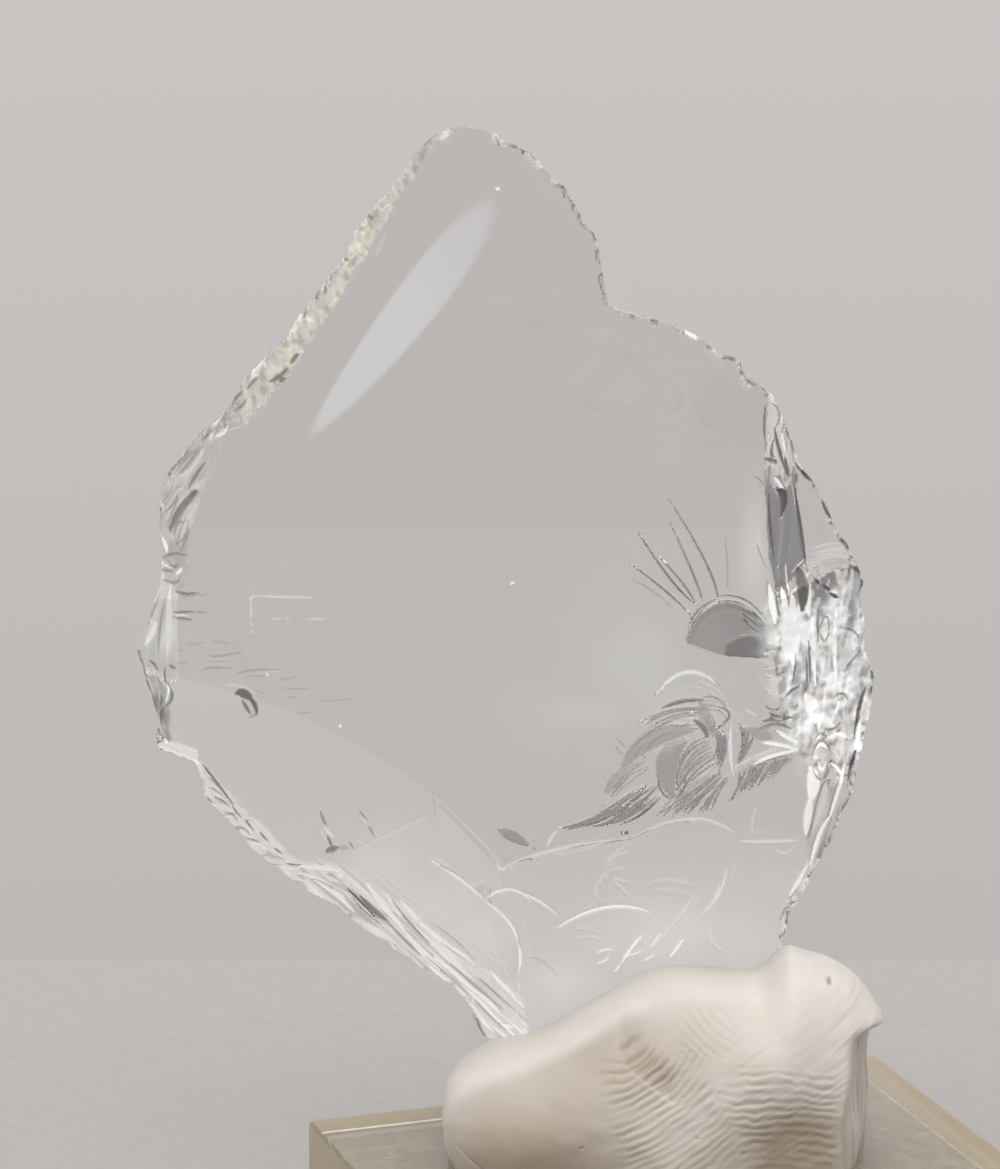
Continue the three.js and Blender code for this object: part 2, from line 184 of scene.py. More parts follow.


# Scratches, hackles and bright ridges: tone, half width, depth and curves. Dark tones are painted shade,
# white ones mostly painted highlights.
BACK_STROKES = [
    # rays above the lens
    ink(0.75, 0.1, 0.1, (11.4, 31.6, 9.7, 33.3, 7.6, 34.9), (11.6, 32.4, 10.1, 33.9, 8.1, 36.8)),
    ink(0.65, 0.09, 0.08, (11.5, 32.5, 10.7, 33.8, 9.2, 35.5), (11.9, 32.7, 11.4, 34.2, 10.0, 37.4)),
    ink(0.7, 0.09, 0.08, (12.8, 32.7, 12.2, 34.8, 9.9, 38.9)),
    ink(0.3, 0.07, 0.04, (10.2, 32.2, 8.9, 33.3, 7.8, 33.9), (13.4, 33.4, 13.4, 34.6, 13.2, 37.0)),
    # rings round the lens
    ink(0.6, 0.1, 0.1, (11.1, 31.0, 11.7, 32.1, 12.8, 32.8), (12.8, 32.9, 14.4, 32.8, 15.8, 31.4)),
    ink(0.8, 0.1, 0.1, (14.3, 32.2, 15.2, 31.7, 15.9, 30.8), (14.4, 31.6, 14.9, 31.1, 15.6, 30.7), count=3),
    chalk(0.8, 0.12, 0.05, (14.5, 30.75, 15.2, 30.65, 15.55, 29.8)),
    ink(0.6, 0.12, 0.1, (15.9, 31.3, 16.3, 30.7, 16.8, 30.0), (16.0, 30.2, 16.3, 29.6, 16.9, 29.2), count=3,
        shake=0.1),
    # the white arcs over the fan
    chalk(0.95, 0.2, 0.12, (9.3, 27.0, 11.0, 28.25, 12.9, 27.5)),
    chalk(0.35, 0.08, 0.06, (11.5, 27.8, 12.8, 27.2, 13.5, 26.2)),
    chalk(0.25, 0.08, 0.05, (10.4, 27.3, 12.2, 27.2, 13.3, 26.2)),
    # the fan: its top, its leaves and its root
    ink(0.75, 0.2, 0.15, (9.6, 26.1, 10.8, 26.55, 12.2, 26.6)),
    ink(0.55, 0.1, 0.1, (8.4, 25.2, 10.2, 26.0, 12.1, 26.1), (8.9, 24.7, 10.4, 25.5, 11.9, 25.6), count=4,
        shake=0.06),
    chalk(0.4, 0.07, 0.05, (8.0, 25.1, 9.6, 26.0, 11.4, 26.4), (8.3, 24.6, 10.0, 25.4, 11.8, 25.4), count=3,
        shake=0.06),
    ink(0.5, 0.08, 0.08, (11.9, 26.75, 12.9, 26.7, 13.5, 25.8), (12.2, 25.9, 12.9, 26.0, 13.4, 25.5)),
    ink(0.55, 0.1, 0.1, (7.2, 22.6, 8.9, 24.6, 11.7, 25.1), (8.4, 23.0, 9.6, 24.5, 11.7, 24.9), count=3),
    ink(0.34, 0.62, 0.1, (11.3, 24.8, 9.1, 24.3, 7.3, 22.6), edge=0.25),
    chalk(0.55, 0.08, 0.05, (11.2, 24.2, 9.3, 23.6, 7.9, 22.8)),
    ink(0.44, 0.72, 0.15, (10.9, 24.1, 9.9, 22.8, 10.2, 20.8), edge=0.2),
    ink(0.36, 0.55, 0.1, (11.9, 26.4, 12.1, 25.7, 12.2, 24.6)),
    ink(0.4, 0.07, 0.05, (6.9, 24.3, 7.2, 23.9, 7.6, 23.6), (6.8, 23.8, 7.1, 23.4, 7.4, 23.2)),
    ink(0.42, 0.06, 0.05, (7.6, 22.9, 8.8, 24.0, 11.2, 24.7), (8.3, 22.6, 9.2, 23.6, 11.0, 24.2), count=4,
        shake=0.06),
    ink(0.42, 0.09, 0.06, (6.1, 20.9, 6.8, 22.1, 8.2, 23.0), (6.7, 20.5, 7.6, 21.6, 8.8, 22.4), count=5,
        shake=0.1),
    ink(0.2, 0.4, 0.03, (6.4, 20.9, 7.2, 22.0, 8.5, 22.8), edge=0.8),
    ink(0.4, 0.08, 0.06, (9.4, 19.4, 10.6, 21.0, 12.4, 22.2), (11.2, 19.6, 12.0, 20.8, 13.2, 21.6), count=6,
        shake=0.12),
    ink(0.45, 0.06, 0.05, (9.2, 22.9, 9.9, 23.6, 11.6, 23.9), (9.6, 21.4, 10.2, 22.2, 11.6, 23.0), count=5,
        shake=0.06),
    ink(0.5, 0.07, 0.06, (11.6, 25.9, 12.3, 25.3, 12.3, 24.5), (12.3, 25.9, 12.7, 25.2, 12.6, 24.4), count=4,
        shake=0.08),
    ink(0.75, 0.1, 0.1, (9.4, 22.2, 9.5, 21.2, 10.1, 20.6), (11.0, 22.0, 10.9, 21.2, 10.4, 20.6)),
    ink(0.6, 0.08, 0.09, (12.3, 24.4, 10.9, 23.4, 10.4, 21.2), (12.9, 22.9, 11.8, 22.2, 10.6, 21.0), count=8,
        shake=0.06),
    ink(0.2, 0.8, 0.03, (12.2, 24.0, 11.6, 22.9, 11.3, 21.8), edge=0.8),
    chalk(0.6, 0.07, 0.05, (12.0, 23.7, 11.0, 22.9, 10.7, 21.6), (12.8, 22.6, 11.9, 21.9, 11.0, 20.9),
        count=5, shake=0.05),
    ink(0.8, 0.25, 0.1, (11.5, 25.4, 12.0, 25.0, 12.3, 24.4)),
    ink(0.7, 0.1, 0.1, (12.3, 26.3, 13.6, 25.7, 12.1, 24.4)),
    ink(0.62, 0.12, 0.1, (12.6, 24.8, 12.9, 24.0, 12.6, 23.2), (13.2, 24.8, 13.35, 23.6, 13.0, 22.2),
        count=4, shake=0.06),
    # the long strokes that sweep down to the left
    ink(0.55, 0.08, 0.08, (7.9, 22.4, 7.2, 21.7, 6.6, 21.0), (7.6, 21.8, 7.0, 21.2, 6.4, 20.4)),
    ink(0.66, 0.12, 0.12, (6.4, 19.8, 5.0, 19.0, 3.6, 18.7), (9.6, 20.9, 8.4, 19.7, 7.0, 19.0), count=9,
        shake=0.12),
    ink(0.66, 0.1, 0.1, (8.2, 21.3, 6.9, 20.3, 5.6, 19.4), (9.4, 21.5, 8.4, 20.5, 7.2, 19.5), count=5,
        shake=0.1),
    ink(0.4, 0.22, 0.06, (3.7, 18.75, 4.9, 18.9, 6.3, 19.3), edge=0.5),
    ink(0.56, 0.09, 0.1, (12.9, 22.2, 11.3, 21.0, 9.6, 19.6), (13.6, 21.8, 13.0, 20.9, 12.5, 19.7), count=11,
        shake=0.12),
    chalk(0.55, 0.07, 0.05, (8.0, 21.6, 6.8, 20.8, 6.2, 20.2), (13.9, 22.0, 12.9, 20.9, 12.1, 19.9),
        count=13, shake=0.15),
    chalk(0.4, 0.24, 0.03, (14.0, 22.4, 12.9, 21.7, 11.9, 20.9), edge=0.7),
    ink(0.55, 0.12, 0.1, (14.2, 22.3, 14.1, 21.4, 13.6, 20.4), (17.7, 23.4, 17.0, 22.9, 16.4, 22.0),
        count=11, shake=0.08),
    ink(0.22, 0.6, 0.02, (14.4, 22.2, 15.9, 22.6, 17.6, 23.2)),
    # the spine of the fan and what lies right of it
    chalk(0.95, 0.17, 0.1, (13.7, 25.2, 13.65, 23.6, 13.85, 22.0)),
    chalk(0.6, 0.2, 0.08, (13.8, 22.4, 15.8, 23.4, 18.2, 23.9)),
    ink(0.62, 0.1, 0.1, (14.2, 25.2, 14.4, 24.1, 14.1, 22.8), (15.0, 24.5, 14.7, 23.6, 14.2, 22.8), count=4,
        shake=0.06),
    ink(0.36, 0.5, 0.08, (14.4, 24.9, 15.6, 24.5, 16.0, 23.9), edge=0.5),
    ink(0.8, 0.15, 0.12, (15.3, 24.8, 16.3, 25.4, 17.7, 25.9), (15.6, 25.3, 16.4, 25.7, 17.4, 26.3), count=3,
        shake=0.08),
    ink(0.6, 0.1, 0.1, (15.7, 26.3, 16.5, 26.1, 17.4, 27.1), (15.9, 27.0, 16.6, 26.8, 17.2, 27.6)),
    # a lone chip
    ink(0.52, 0.3, 0.1, (-0.1, 18.65, 0.8, 18.2, 1.6, 17.7), edge=0.15),
    ink(0.72, 0.07, 0.05, (-0.15, 18.7, 0.6, 18.5, 1.5, 17.9), (-0.1, 18.6, 0.5, 18.0, 2.0, 17.5)),
]
FRONT_STROKES = [
    # a lone chip with two legs
    ink(0.8, 0.36, 0.06, (-15.55, 28.3, -15.1, 28.3, -14.6, 27.9), edge=0.4),
    ink(0.82, 0.2, 0.05, (-14.85, 28.0, -14.5, 27.7, -14.35, 27.0), edge=0.5),
    ink(0.68, 0.16, 0.04, (-15.2, 27.85, -15.0, 27.5, -14.75, 27.0), edge=0.5),
    ink(0.36, 0.13, 0.02, (-14.35, 27.2, -14.5, 26.95, -14.85, 26.75)),
    chalk(0.3, 0.14, 0.02, (-16.3, 28.8, -15.4, 28.75, -14.3, 28.3), edge=0.7),
    # a bent scratch with dashes and dots beside it
    chalk(0.5, 0.1, 0.03, (-10.6, 34.1, -12.4, 34.1, -14.1, 34.13),
        (-14.1, 34.13, -14.58, 34.05, -14.61, 33.6), (-14.61, 33.6, -14.62, 33.2, -14.63, 32.75)),
    chalk(0.42, 0.09, 0.02, (-14.6, 32.55, -14.58, 32.45, -14.56, 32.3),
        (-14.57, 32.1, -14.55, 32.0, -14.53, 31.9), (-13.37, 32.8, -13.1, 32.8, -12.92, 32.8),
        (-12.62, 32.81, -12.5, 32.81, -12.32, 32.81), (-11.3, 32.78, -10.8, 32.81, -10.2, 32.87)),
    # ticks that run in from the left edge
    ink(0.62, 0.12, 0.06, (-19.15, 34.1, -18.4, 34.2, -17.7, 34.3),
        (-19.2, 33.05, -18.6, 33.12, -18.0, 33.12), (-19.25, 32.7, -18.7, 32.73, -18.1, 32.66)),
    ink(0.35, 0.06, 0.03, (-18.85, 33.98, -18.0, 34.12, -17.1, 34.2),
        (-18.1, 33.17, -17.6, 33.13, -17.1, 33.11)),
    chalk(0.7, 0.06, 0.03, (-19.15, 32.92, -18.75, 32.94, -18.3, 32.91)),
    # ripples below them
    ink(0.16, 0.09, 0.01, (-18.5, 31.2, -17.9, 31.23, -17.3, 31.36),
        (-17.0, 31.4, -16.4, 31.36, -15.8, 31.29), (-19.1, 30.85, -18.8, 30.85, -18.4, 30.78),
        (-17.2, 30.2, -16.6, 30.18, -16.0, 30.3), (-19.2, 30.03, -18.8, 30.06, -18.3, 30.09),
        (-15.0, 29.32, -14.1, 29.39, -13.5, 29.5), (-13.0, 29.18, -12.4, 29.25, -11.8, 29.44),
        (-12.8, 28.67, -12.0, 28.64, -11.1, 28.65), (-14.6, 28.55, -14.3, 28.45, -13.9, 28.34),
        (-12.5, 28.1, -12.2, 28.11, -11.9, 28.1), (-12.0, 27.26, -11.6, 27.22, -11.1, 27.27),
        (-10.9, 27.9, -9.9, 27.95, -8.6, 28.1)),
    ink(0.28, 0.1, 0.015, (-17.1, 30.52, -16.5, 30.54, -15.1, 30.8),
        (-17.6, 29.63, -17.0, 29.82, -15.8, 29.84), (-15.5, 29.49, -14.6, 29.71, -13.0, 29.81)),
    chalk(0.12, 0.08, 0.01, (-17.0, 30.3, -16.4, 30.35, -15.4, 30.55),
        (-17.4, 30.0, -16.6, 30.05, -15.8, 30.1), (-14.6, 29.5, -13.6, 29.6, -12.6, 29.65)),
    # bright specks
    chalk(0.95, 0.13, 0.05, (-13.8, 29.45, -13.7, 29.47, -13.6, 29.44),
        (-9.47, 26.41, -9.4, 26.42, -9.3, 26.4), (-14.4, 31.5, -14.35, 31.52, -14.3, 31.5),
        (-0.3, 57.8, -0.15, 57.85, 0.0, 57.8), (0.6, 34.9, 0.7, 35.0, 0.8, 34.9)),
    # marks above the strip: a dark chip on a bent stalk, brown beside it, and slanting dashes
    ink(0.5, 0.11, 0.08, (-10.68, 20.85, -10.54, 20.3, -10.33, 19.88), edge=0.4),
    chalk(0.6, 0.13, 0.06, (-10.46, 19.75, -10.22, 19.38, -9.9, 19.05), edge=0.4),
    ink(0.62, 0.12, 0.08, (-10.29, 19.2, -10.15, 18.8, -10.0, 18.4)),
    ink(0.66, 0.26, 0.1, (-10.4, 18.1, -10.05, 18.32, -9.7, 18.45), edge=0.4),
    ink(0.2, 0.26, 0.03, (-9.75, 18.4, -9.4, 18.5, -9.05, 18.4), edge=0.5),
    ink(0.45, 0.09, 0.06, (-9.0, 18.93, -8.88, 18.67, -8.73, 18.4),
        (-7.79, 20.03, -7.67, 19.7, -7.47, 19.33), (-8.36, 21.02, -8.12, 20.69, -7.91, 20.43)),
    chalk(0.35, 0.09, 0.05, (-8.3, 20.48, -8.12, 20.28, -7.95, 20.14),
        (-10.75, 19.6, -10.6, 19.2, -10.4, 18.8), (-8.6, 19.0, -8.4, 18.8, -8.1, 18.7)),
    ink(0.15, 0.07, 0.02, (-3.93, 22.6, -3.9, 21.8, -3.86, 20.96)),
    # ridges below the broad face, which catch the light
    chalk(0.22, 0.1, -0.03, (-9.0, 18.15, -6.2, 19.8, -4.0, 21.1), (-3.9, 22.3, -0.9, 19.2, 0.2, 17.75)),
    chalk(0.6, 0.16, -0.03, (-0.2, 18.1, 0.1, 17.7, 0.5, 17.95)),
    chalk(0.5, 0.15, -0.04, (0.24, 17.9, 3.6, 19.0, 7.7, 19.5), (7.7, 19.5, 11.2, 20.7, 13.9, 19.8)),
    chalk(0.3, 0.09, -0.03, (3.0, 18.5, 5.6, 19.1, 8.6, 19.9), (9.0, 20.3, 10.6, 20.6, 12.6, 20.3)),
    chalk(0.6, 0.13, 0.05, (2.8, 19.1, 3.0, 19.6, 3.4, 20.1)),
    # arcs on the heel and the foot
    chalk(0.85, 0.16, -0.1, (-4.2, 17.9, -2.1, 16.5, -1.0, 15.4), (-1.0, 15.4, 0.5, 14.1, 1.1, 12.6),
        (1.1, 12.6, 1.25, 11.6, 1.1, 10.4)),
    chalk(0.75, 0.12, -0.08, (-1.0, 15.6, 0.5, 16.35, 1.9, 15.5), (1.0, 16.2, 2.3, 15.5, 3.4, 14.5)),
    chalk(0.9, 0.17, -0.08, (3.4, 13.6, 6.3, 14.9, 9.0, 14.5)),
    chalk(0.35, 0.1, 0.03, (4.2, 13.2, 5.0, 13.5, 6.1, 13.0), (4.4, 12.6, 5.3, 12.9, 6.3, 12.5)),
    chalk(0.3, 0.12, 0.03, (6.3, 17.6, 6.8, 18.5, 7.8, 19.1), (6.4, 17.3, 5.7, 16.2, 6.0, 15.3),
        (6.8, 17.0, 7.1, 16.3, 8.1, 15.3)),
    chalk(0.3, 0.1, 0.04, (6.6, 17.8, 7.0, 18.2, 7.6, 18.5), (7.0, 16.4, 7.4, 16.1, 7.6, 15.6), count=4,
        shake=0.2),
    chalk(0.22, 0.3, 0.02, (9.0, 16.4, 10.0, 16.6, 11.6, 16.2), (9.4, 15.9, 10.4, 15.9, 11.4, 15.5),
        edge=0.9),
    chalk(0.6, 0.14, 0.04, (13.5, 17.3, 13.1, 15.6, 12.3, 14.4), (13.1, 16.3, 12.8, 15.2, 12.0, 14.1)),
    chalk(0.5, 0.13, 0.05, (11.6, 15.5, 10.7, 14.0, 9.2, 11.9), (10.4, 13.7, 9.9, 12.9, 9.2, 11.9),
        (12.6, 13.2, 12.9, 12.2, 13.6, 11.6)),
    chalk(1.0, 0.15, 0.1, (8.6, 12.95, 7.9, 12.0, 7.3, 10.9), (11.1, 12.7, 10.7, 12.0, 10.2, 11.2)),
    chalk(0.9, 0.11, 0.06, (7.3, 10.9, 7.1, 10.6, 6.9, 10.2), (7.4, 11.45, 8.1, 11.6, 8.6, 11.85),
        (5.8, 11.0, 6.3, 11.15, 6.5, 11.5), (5.75, 11.6, 6.3, 11.95, 6.85, 11.8),
        (8.65, 11.0, 9.0, 11.3, 9.4, 11.5), (9.0, 12.0, 9.3, 12.4, 9.7, 13.1)),
    chalk(0.6, 0.13, 0.04, (14.3, 19.13, 16.0, 19.1, 17.7, 19.13)),
    chalk(0.3, 0.1, 0.03, (16.2, 18.7, 17.0, 18.3, 17.6, 18.9), (15.25, 21.4, 15.0, 20.6, 14.95, 19.4)),
    # the right edge: a bright bar and bright chips, painted highlights where it refracts the light, and a
    # painted black line
    chalk(1.0, 0.5, 0.02, (18.4, 23.6, 18.6, 22.7, 18.45, 21.6), edge=0.4),
    chalk(0.8, 0.36, 0.02, (18.45, 21.9, 18.3, 20.7, 18.2, 19.5), edge=0.5),
    chalk(0.4, 0.5, 0.02, (19.4, 22.6, 19.1, 21.3, 18.7, 19.8), edge=0.8),
    chalk(0.9, 0.2, 0.1, (20.6, 23.4, 20.1, 21.8, 19.6, 20.2), (19.7, 20.5, 19.0, 19.3, 18.5, 17.4),
        (18.4, 17.6, 17.8, 16.3, 17.3, 15.3)),
    chalk(1.0, 0.16, 0.1, (21.75, 25.6, 21.55, 24.9, 21.35, 24.2)),
    ink(0.9, 0.17, 0.1, (22.0, 27.3, 21.6, 26.1, 21.2, 24.6), (21.3, 24.0, 21.05, 23.3, 20.75, 22.4)),
    ink(0.35, 0.08, 0.05, (17.35, 15.0, 17.0, 14.3, 16.8, 13.6)),
    # the crushed glass: teeth that rise into the step, its folds, rings and rays
    chalk(1.0, 0.24, 0.08, (15.8, 34.7, 16.0, 33.6, 16.2, 32.4), (16.6, 34.3, 16.8, 33.3, 16.9, 32.4),
        (17.2, 33.9, 17.3, 33.2, 17.4, 32.2), (18.4, 34.2, 18.3, 33.2, 18.4, 32.2), edge=0.35),
    ink(0.55, 0.12, 0.08, (16.25, 34.0, 16.35, 33.3, 16.5, 32.7), (17.8, 33.9, 17.85, 33.2, 17.85, 32.7)),
    chalk(1.0, 0.9, 0.04, (17.0, 33.0, 17.2, 31.6, 17.4, 29.8), edge=0.5),
    ink(0.6, 0.1, 0.1, (18.33, 30.9, 18.45, 29.6, 18.5, 28.2), (18.2, 29.8, 18.28, 29.0, 18.25, 28.2),
        (19.0, 32.6, 18.95, 31.6, 19.0, 30.4), (17.3, 28.6, 17.5, 29.4, 17.5, 30.2)),
    chalk(0.95, 0.22, 0.06, (18.6, 32.0, 18.7, 29.9, 18.8, 28.0), (20.1, 32.3, 20.05, 30.3, 20.1, 28.2)),
    chalk(0.95, 0.7, 0.04, (18.2, 27.6, 18.6, 26.8, 19.0, 25.9)),
    ink(0.5, 0.1, 0.08, (20.5, 31.1, 21.1, 30.8, 21.7, 30.2), (21.7, 29.5, 21.2, 29.0, 20.6, 28.4),
        (19.9, 27.0, 20.5, 27.2, 20.9, 26.7), (19.3, 25.6, 19.9, 25.3, 20.5, 25.6)),
    ink(0.45, 0.1, 0.08, (19.0, 31.2, 19.5, 31.9, 19.7, 31.0), (19.1, 31.0, 19.4, 30.5, 19.7, 31.0)),
    ink(0.4, 0.1, 0.08, (18.5, 24.0, 19.1, 24.9, 19.8, 24.0), (18.5, 23.7, 19.1, 22.8, 19.8, 23.6),
        (18.7, 24.9, 19.1, 25.3, 19.5, 24.9)),
    chalk(0.9, 0.14, 0.05, (18.7, 24.4, 19.1, 24.7, 19.5, 24.4), (18.9, 23.9, 19.1, 23.4, 19.4, 23.8)),
    chalk(0.85, 0.2, 0.06, (15.4, 25.3, 16.5, 25.1, 17.6, 24.8), (16.3, 26.0, 16.9, 25.6, 17.6, 25.2),
        (15.0, 23.9, 16.0, 24.4, 17.5, 24.7)),
    chalk(0.9, 0.13, 0.06, (19.4, 24.9, 20.2, 25.0, 20.9, 24.7), (19.3, 25.1, 19.9, 25.9, 20.3, 26.9),
        (19.0, 25.2, 18.9, 26.2, 18.6, 27.0), (19.6, 23.6, 20.1, 23.2, 20.5, 22.6)),
    ink(0.6, 0.14, 0.08, (16.9, 27.9, 17.4, 28.15, 17.8, 28.2), (15.9, 27.1, 16.4, 26.8, 17.0, 26.9),
        (16.6, 26.5, 16.9, 26.65, 17.3, 26.6), (15.2, 26.0, 16.2, 26.35, 17.2, 26.0)),
    chalk(0.5, 0.1, 0.06, (15.5, 30.3, 16.2, 30.6, 16.9, 30.2), (15.6, 28.6, 16.3, 28.3, 17.1, 28.7),
        count=5, shake=0.25),
    # the narrow streaked triangle at the top of the step
    ink(0.6, 0.1, 0.08, (15.55, 45.4, 15.45, 44.1, 15.55, 43.0), (16.0, 45.2, 16.45, 44.4, 16.15, 43.7),
        (16.5, 44.5, 16.8, 44.0, 16.6, 43.3)),
    ink(0.8, 0.13, 0.12, (16.1, 43.8, 16.4, 42.4, 17.0, 40.6), (16.8, 41.7, 16.95, 41.1, 17.1, 40.4)),
    ink(0.65, 0.16, 0.1, (15.5, 42.1, 15.9, 41.9, 16.3, 41.6), (16.1, 43.1, 15.9, 42.4, 16.1, 42.0)),
    chalk(0.9, 0.15, 0.08, (16.6, 43.3, 16.75, 42.6, 16.9, 42.0), (16.1, 40.9, 16.5, 40.3, 16.95, 39.5)),
    # the wall of the step, painted dark where it turns the light away, its edges and the diagonal across it
    ink(0.97, 0.32, 0.2, (16.35, 40.0, 16.75, 39.4, 16.6, 38.4), edge=0.3),
    ink(0.85, 0.12, 0.05, (17.4, 40.0, 17.9, 37.5, 18.3, 34.7)),
    ink(0.8, 0.12, 0.05, (15.75, 40.0, 15.85, 38.2, 16.1, 36.2)),
    ink(0.8, 0.42, 0.05, (17.7, 34.9, 17.95, 34.0, 17.95, 32.7), edge=0.3),
    chalk(0.8, 0.09, 0.04, (17.2, 34.0, 17.8, 34.3, 18.4, 34.7), (17.3, 34.9, 17.8, 35.1, 18.3, 35.3),
        (16.9, 35.7, 16.95, 34.7, 17.1, 33.9)),
    chalk(0.35, 0.2, 0.05, (15.1, 38.2, 15.25, 36.9, 15.7, 35.4)),
    ink(0.36, 0.08, 0.05, (15.1, 37.1, 15.3, 36.5, 15.75, 35.4), (15.75, 35.0, 15.7, 34.5, 15.75, 33.9),
        (14.8, 41.2, 15.2, 40.9, 15.5, 40.5)),
    # the clear ear: dashes along its edge and dark crumbs at its foot
    ink(0.8, 0.12, 0.1, (17.5, 41.2, 18.1, 40.4, 18.6, 40.0), (19.2, 38.8, 19.5, 38.1, 19.9, 37.6),
        (20.3, 37.0, 20.5, 36.6, 20.7, 36.3)),
    ink(0.9, 0.16, 0.1, (18.65, 34.45, 18.85, 34.3, 19.0, 34.1), (19.2, 34.0, 19.5, 33.7, 19.7, 33.6),
        (19.7, 33.3, 20.0, 33.1, 20.2, 33.0), (21.1, 34.7, 21.4, 34.5, 21.6, 34.2)),
    chalk(0.35, 0.12, 0.06, (18.6, 35.8, 19.9, 36.1, 20.8, 36.2), (18.6, 34.9, 19.9, 35.2, 21.0, 35.0),
        count=5, shake=0.15),
    # the band down the left edge: a dark hollow, slanting hackles and bright crumbs
    ink(0.62, 0.26, 0.12, (-19.56, 37.3, -18.9, 38.7, -17.75, 40.1), edge=0.5),
    ink(0.8, 0.17, 0.08, (-18.3, 39.6, -18.05, 39.9, -17.75, 40.2)),
    ink(0.55, 0.14, 0.1, (-18.4, 40.0, -17.9, 40.9, -17.3, 41.8)),
    ink(0.45, 0.08, 0.07, (-20.0, 40.2, -19.3, 41.0, -18.6, 41.9), (-19.0, 40.5, -18.3, 41.4, -17.5, 42.5),
        count=5, shake=0.1),
    chalk(0.6, 0.08, 0.05, (-19.9, 40.0, -19.2, 40.8, -18.5, 41.7), (-18.9, 40.4, -18.2, 41.2, -17.4, 42.3),
        count=5, shake=0.1),
    ink(0.4, 0.07, 0.05, (-20.3, 38.4, -19.7, 39.3, -19.3, 40.1), (-19.5, 37.0, -19.1, 37.8, -18.7, 38.4),
        (-18.9, 36.6, -18.5, 37.4, -18.1, 38.3), count=9, shake=0.15),
    chalk(0.5, 0.08, 0.04, (-20.2, 38.8, -19.6, 39.6, -19.2, 40.3), (-19.3, 37.3, -18.6, 38.5, -17.9, 39.3),
        (-18.9, 36.9, -18.5, 37.7, -18.1, 38.7), count=8, shake=0.12),
    chalk(0.85, 0.26, 0.04, (-20.1, 36.7, -19.9, 36.4, -19.8, 36.0), edge=0.5),
    chalk(0.9, 0.15, 0.05, (-20.3, 35.1, -20.0, 35.2, -19.6, 35.2), (-19.2, 35.0, -18.9, 35.3, -18.7, 35.6)),
    ink(0.5, 0.09, 0.08, (-20.2, 35.4, -19.2, 36.2, -18.3, 36.4), (-20.1, 34.3, -19.2, 34.5, -18.8, 35.1),
        (-19.8, 35.6, -19.3, 35.4, -19.0, 35.7), (-20.2, 34.8, -19.8, 34.9, -19.4, 35.1)),
    # the bevel above it: dark crumbs at its foot and along its rim, and white ones
    ink(0.55, 0.12, 0.08, (-17.6, 42.8, -17.2, 43.2, -16.9, 43.5), (-16.8, 43.6, -16.4, 44.2, -16.1, 44.4),
        (-15.9, 44.7, -15.5, 45.3, -15.1, 45.7), (-15.6, 44.6, -15.2, 44.9, -14.9, 45.3),
        (-14.9, 45.8, -14.6, 46.2, -14.2, 46.6)),
    ink(0.7, 0.17, 0.08, (-13.5, 46.5, -12.9, 46.9, -12.4, 47.4), (-12.9, 46.6, -12.7, 46.8, -12.5, 46.9),
        (-12.2, 47.7, -12.0, 48.0, -11.7, 48.3)),
    ink(0.5, 0.13, 0.06, (-7.8, 56.3, -7.6, 56.0, -7.4, 56.1), (-9.2, 53.9, -9.0, 53.6, -8.8, 53.7),
        (-10.3, 52.2, -10.2, 51.9, -10.3, 51.6)),
    chalk(0.7, 0.13, 0.04, (-6.9, 56.4, -6.7, 56.7, -6.4, 56.9), (-8.1, 55.0, -7.9, 55.2, -7.6, 55.5),
        (-9.0, 53.3, -8.8, 53.6, -8.5, 53.9), (-10.5, 51.7, -10.2, 52.0, -9.9, 52.3),
        (-11.7, 50.2, -11.4, 50.5, -11.1, 50.8), (-12.9, 49.0, -12.6, 49.4, -12.3, 49.6),
        (-16.6, 43.3, -16.2, 43.6, -15.9, 44.0)),
    chalk(0.3, 0.1, 0.03, (-7.3, 53.9, -7.0, 54.4, -6.6, 55.3)),
    # grey break between the bevel and the wall under it
    ink(0.36, 0.55, 0.02, (-17.9, 43.3, -17.0, 43.9, -15.9, 44.5), edge=0.7),
    ink(0.55, 0.07, 0.04, (-17.5, 43.2, -16.9, 43.7, -16.3, 44.5), (-16.9, 43.2, -16.5, 43.7, -16.0, 44.3),
        count=3, shake=0.08),
    # the pale facet below it: a bright wedge, a pale band and grey lines
    chalk(0.7, 0.26, 0.05, (-20.4, 32.0, -20.7, 31.2, -21.2, 30.3), edge=0.5),
    chalk(0.62, 0.34, 0.03, (-19.5, 34.2, -19.55, 32.2, -19.7, 30.2), edge=0.5),
    ink(0.35, 0.13, 0.06, (-19.8, 33.4, -20.15, 31.9, -20.3, 30.0), (-20.2, 33.6, -20.6, 32.6, -21.0, 31.6)),
    # dark hackles below the facet and the bright sliver in them
    ink(0.62, 0.15, 0.1, (-21.6, 29.6, -21.4, 29.0, -21.0, 28.6), (-21.3, 28.5, -21.07, 28.2, -20.8, 27.8),
        (-20.85, 27.45, -20.6, 27.14, -20.4, 26.6), (-20.93, 29.44, -20.58, 29.34, -20.37, 29.1),
        (-19.6, 29.67, -19.37, 29.68, -19.1, 29.65)),
    ink(0.7, 0.11, 0.1, (-19.85, 29.4, -19.86, 28.9, -19.44, 28.5),
        (-19.44, 28.5, -19.42, 27.8, -19.95, 27.1), (-20.1, 27.85, -20.11, 27.4, -20.2, 26.9)),
    ink(0.75, 0.16, 0.1, (-19.95, 27.1, -20.16, 26.5, -20.2, 25.9)),
    chalk(0.95, 0.08, 0.05, (-19.68, 28.8, -19.62, 28.1, -19.85, 27.4)),
    chalk(0.4, 0.08, 0.08, (-21.1, 29.2, -20.8, 28.6, -20.5, 28.0), (-20.5, 28.6, -20.3, 28.0, -20.3, 27.4),
        count=4, shake=0.1),
    # the streaked strip along the lower left edge, with painted glints: its tail and its outer rim
    chalk(0.9, 0.24, 0.04, (-12.1, 16.95, -10.7, 16.95, -9.4, 16.75), edge=0.4),
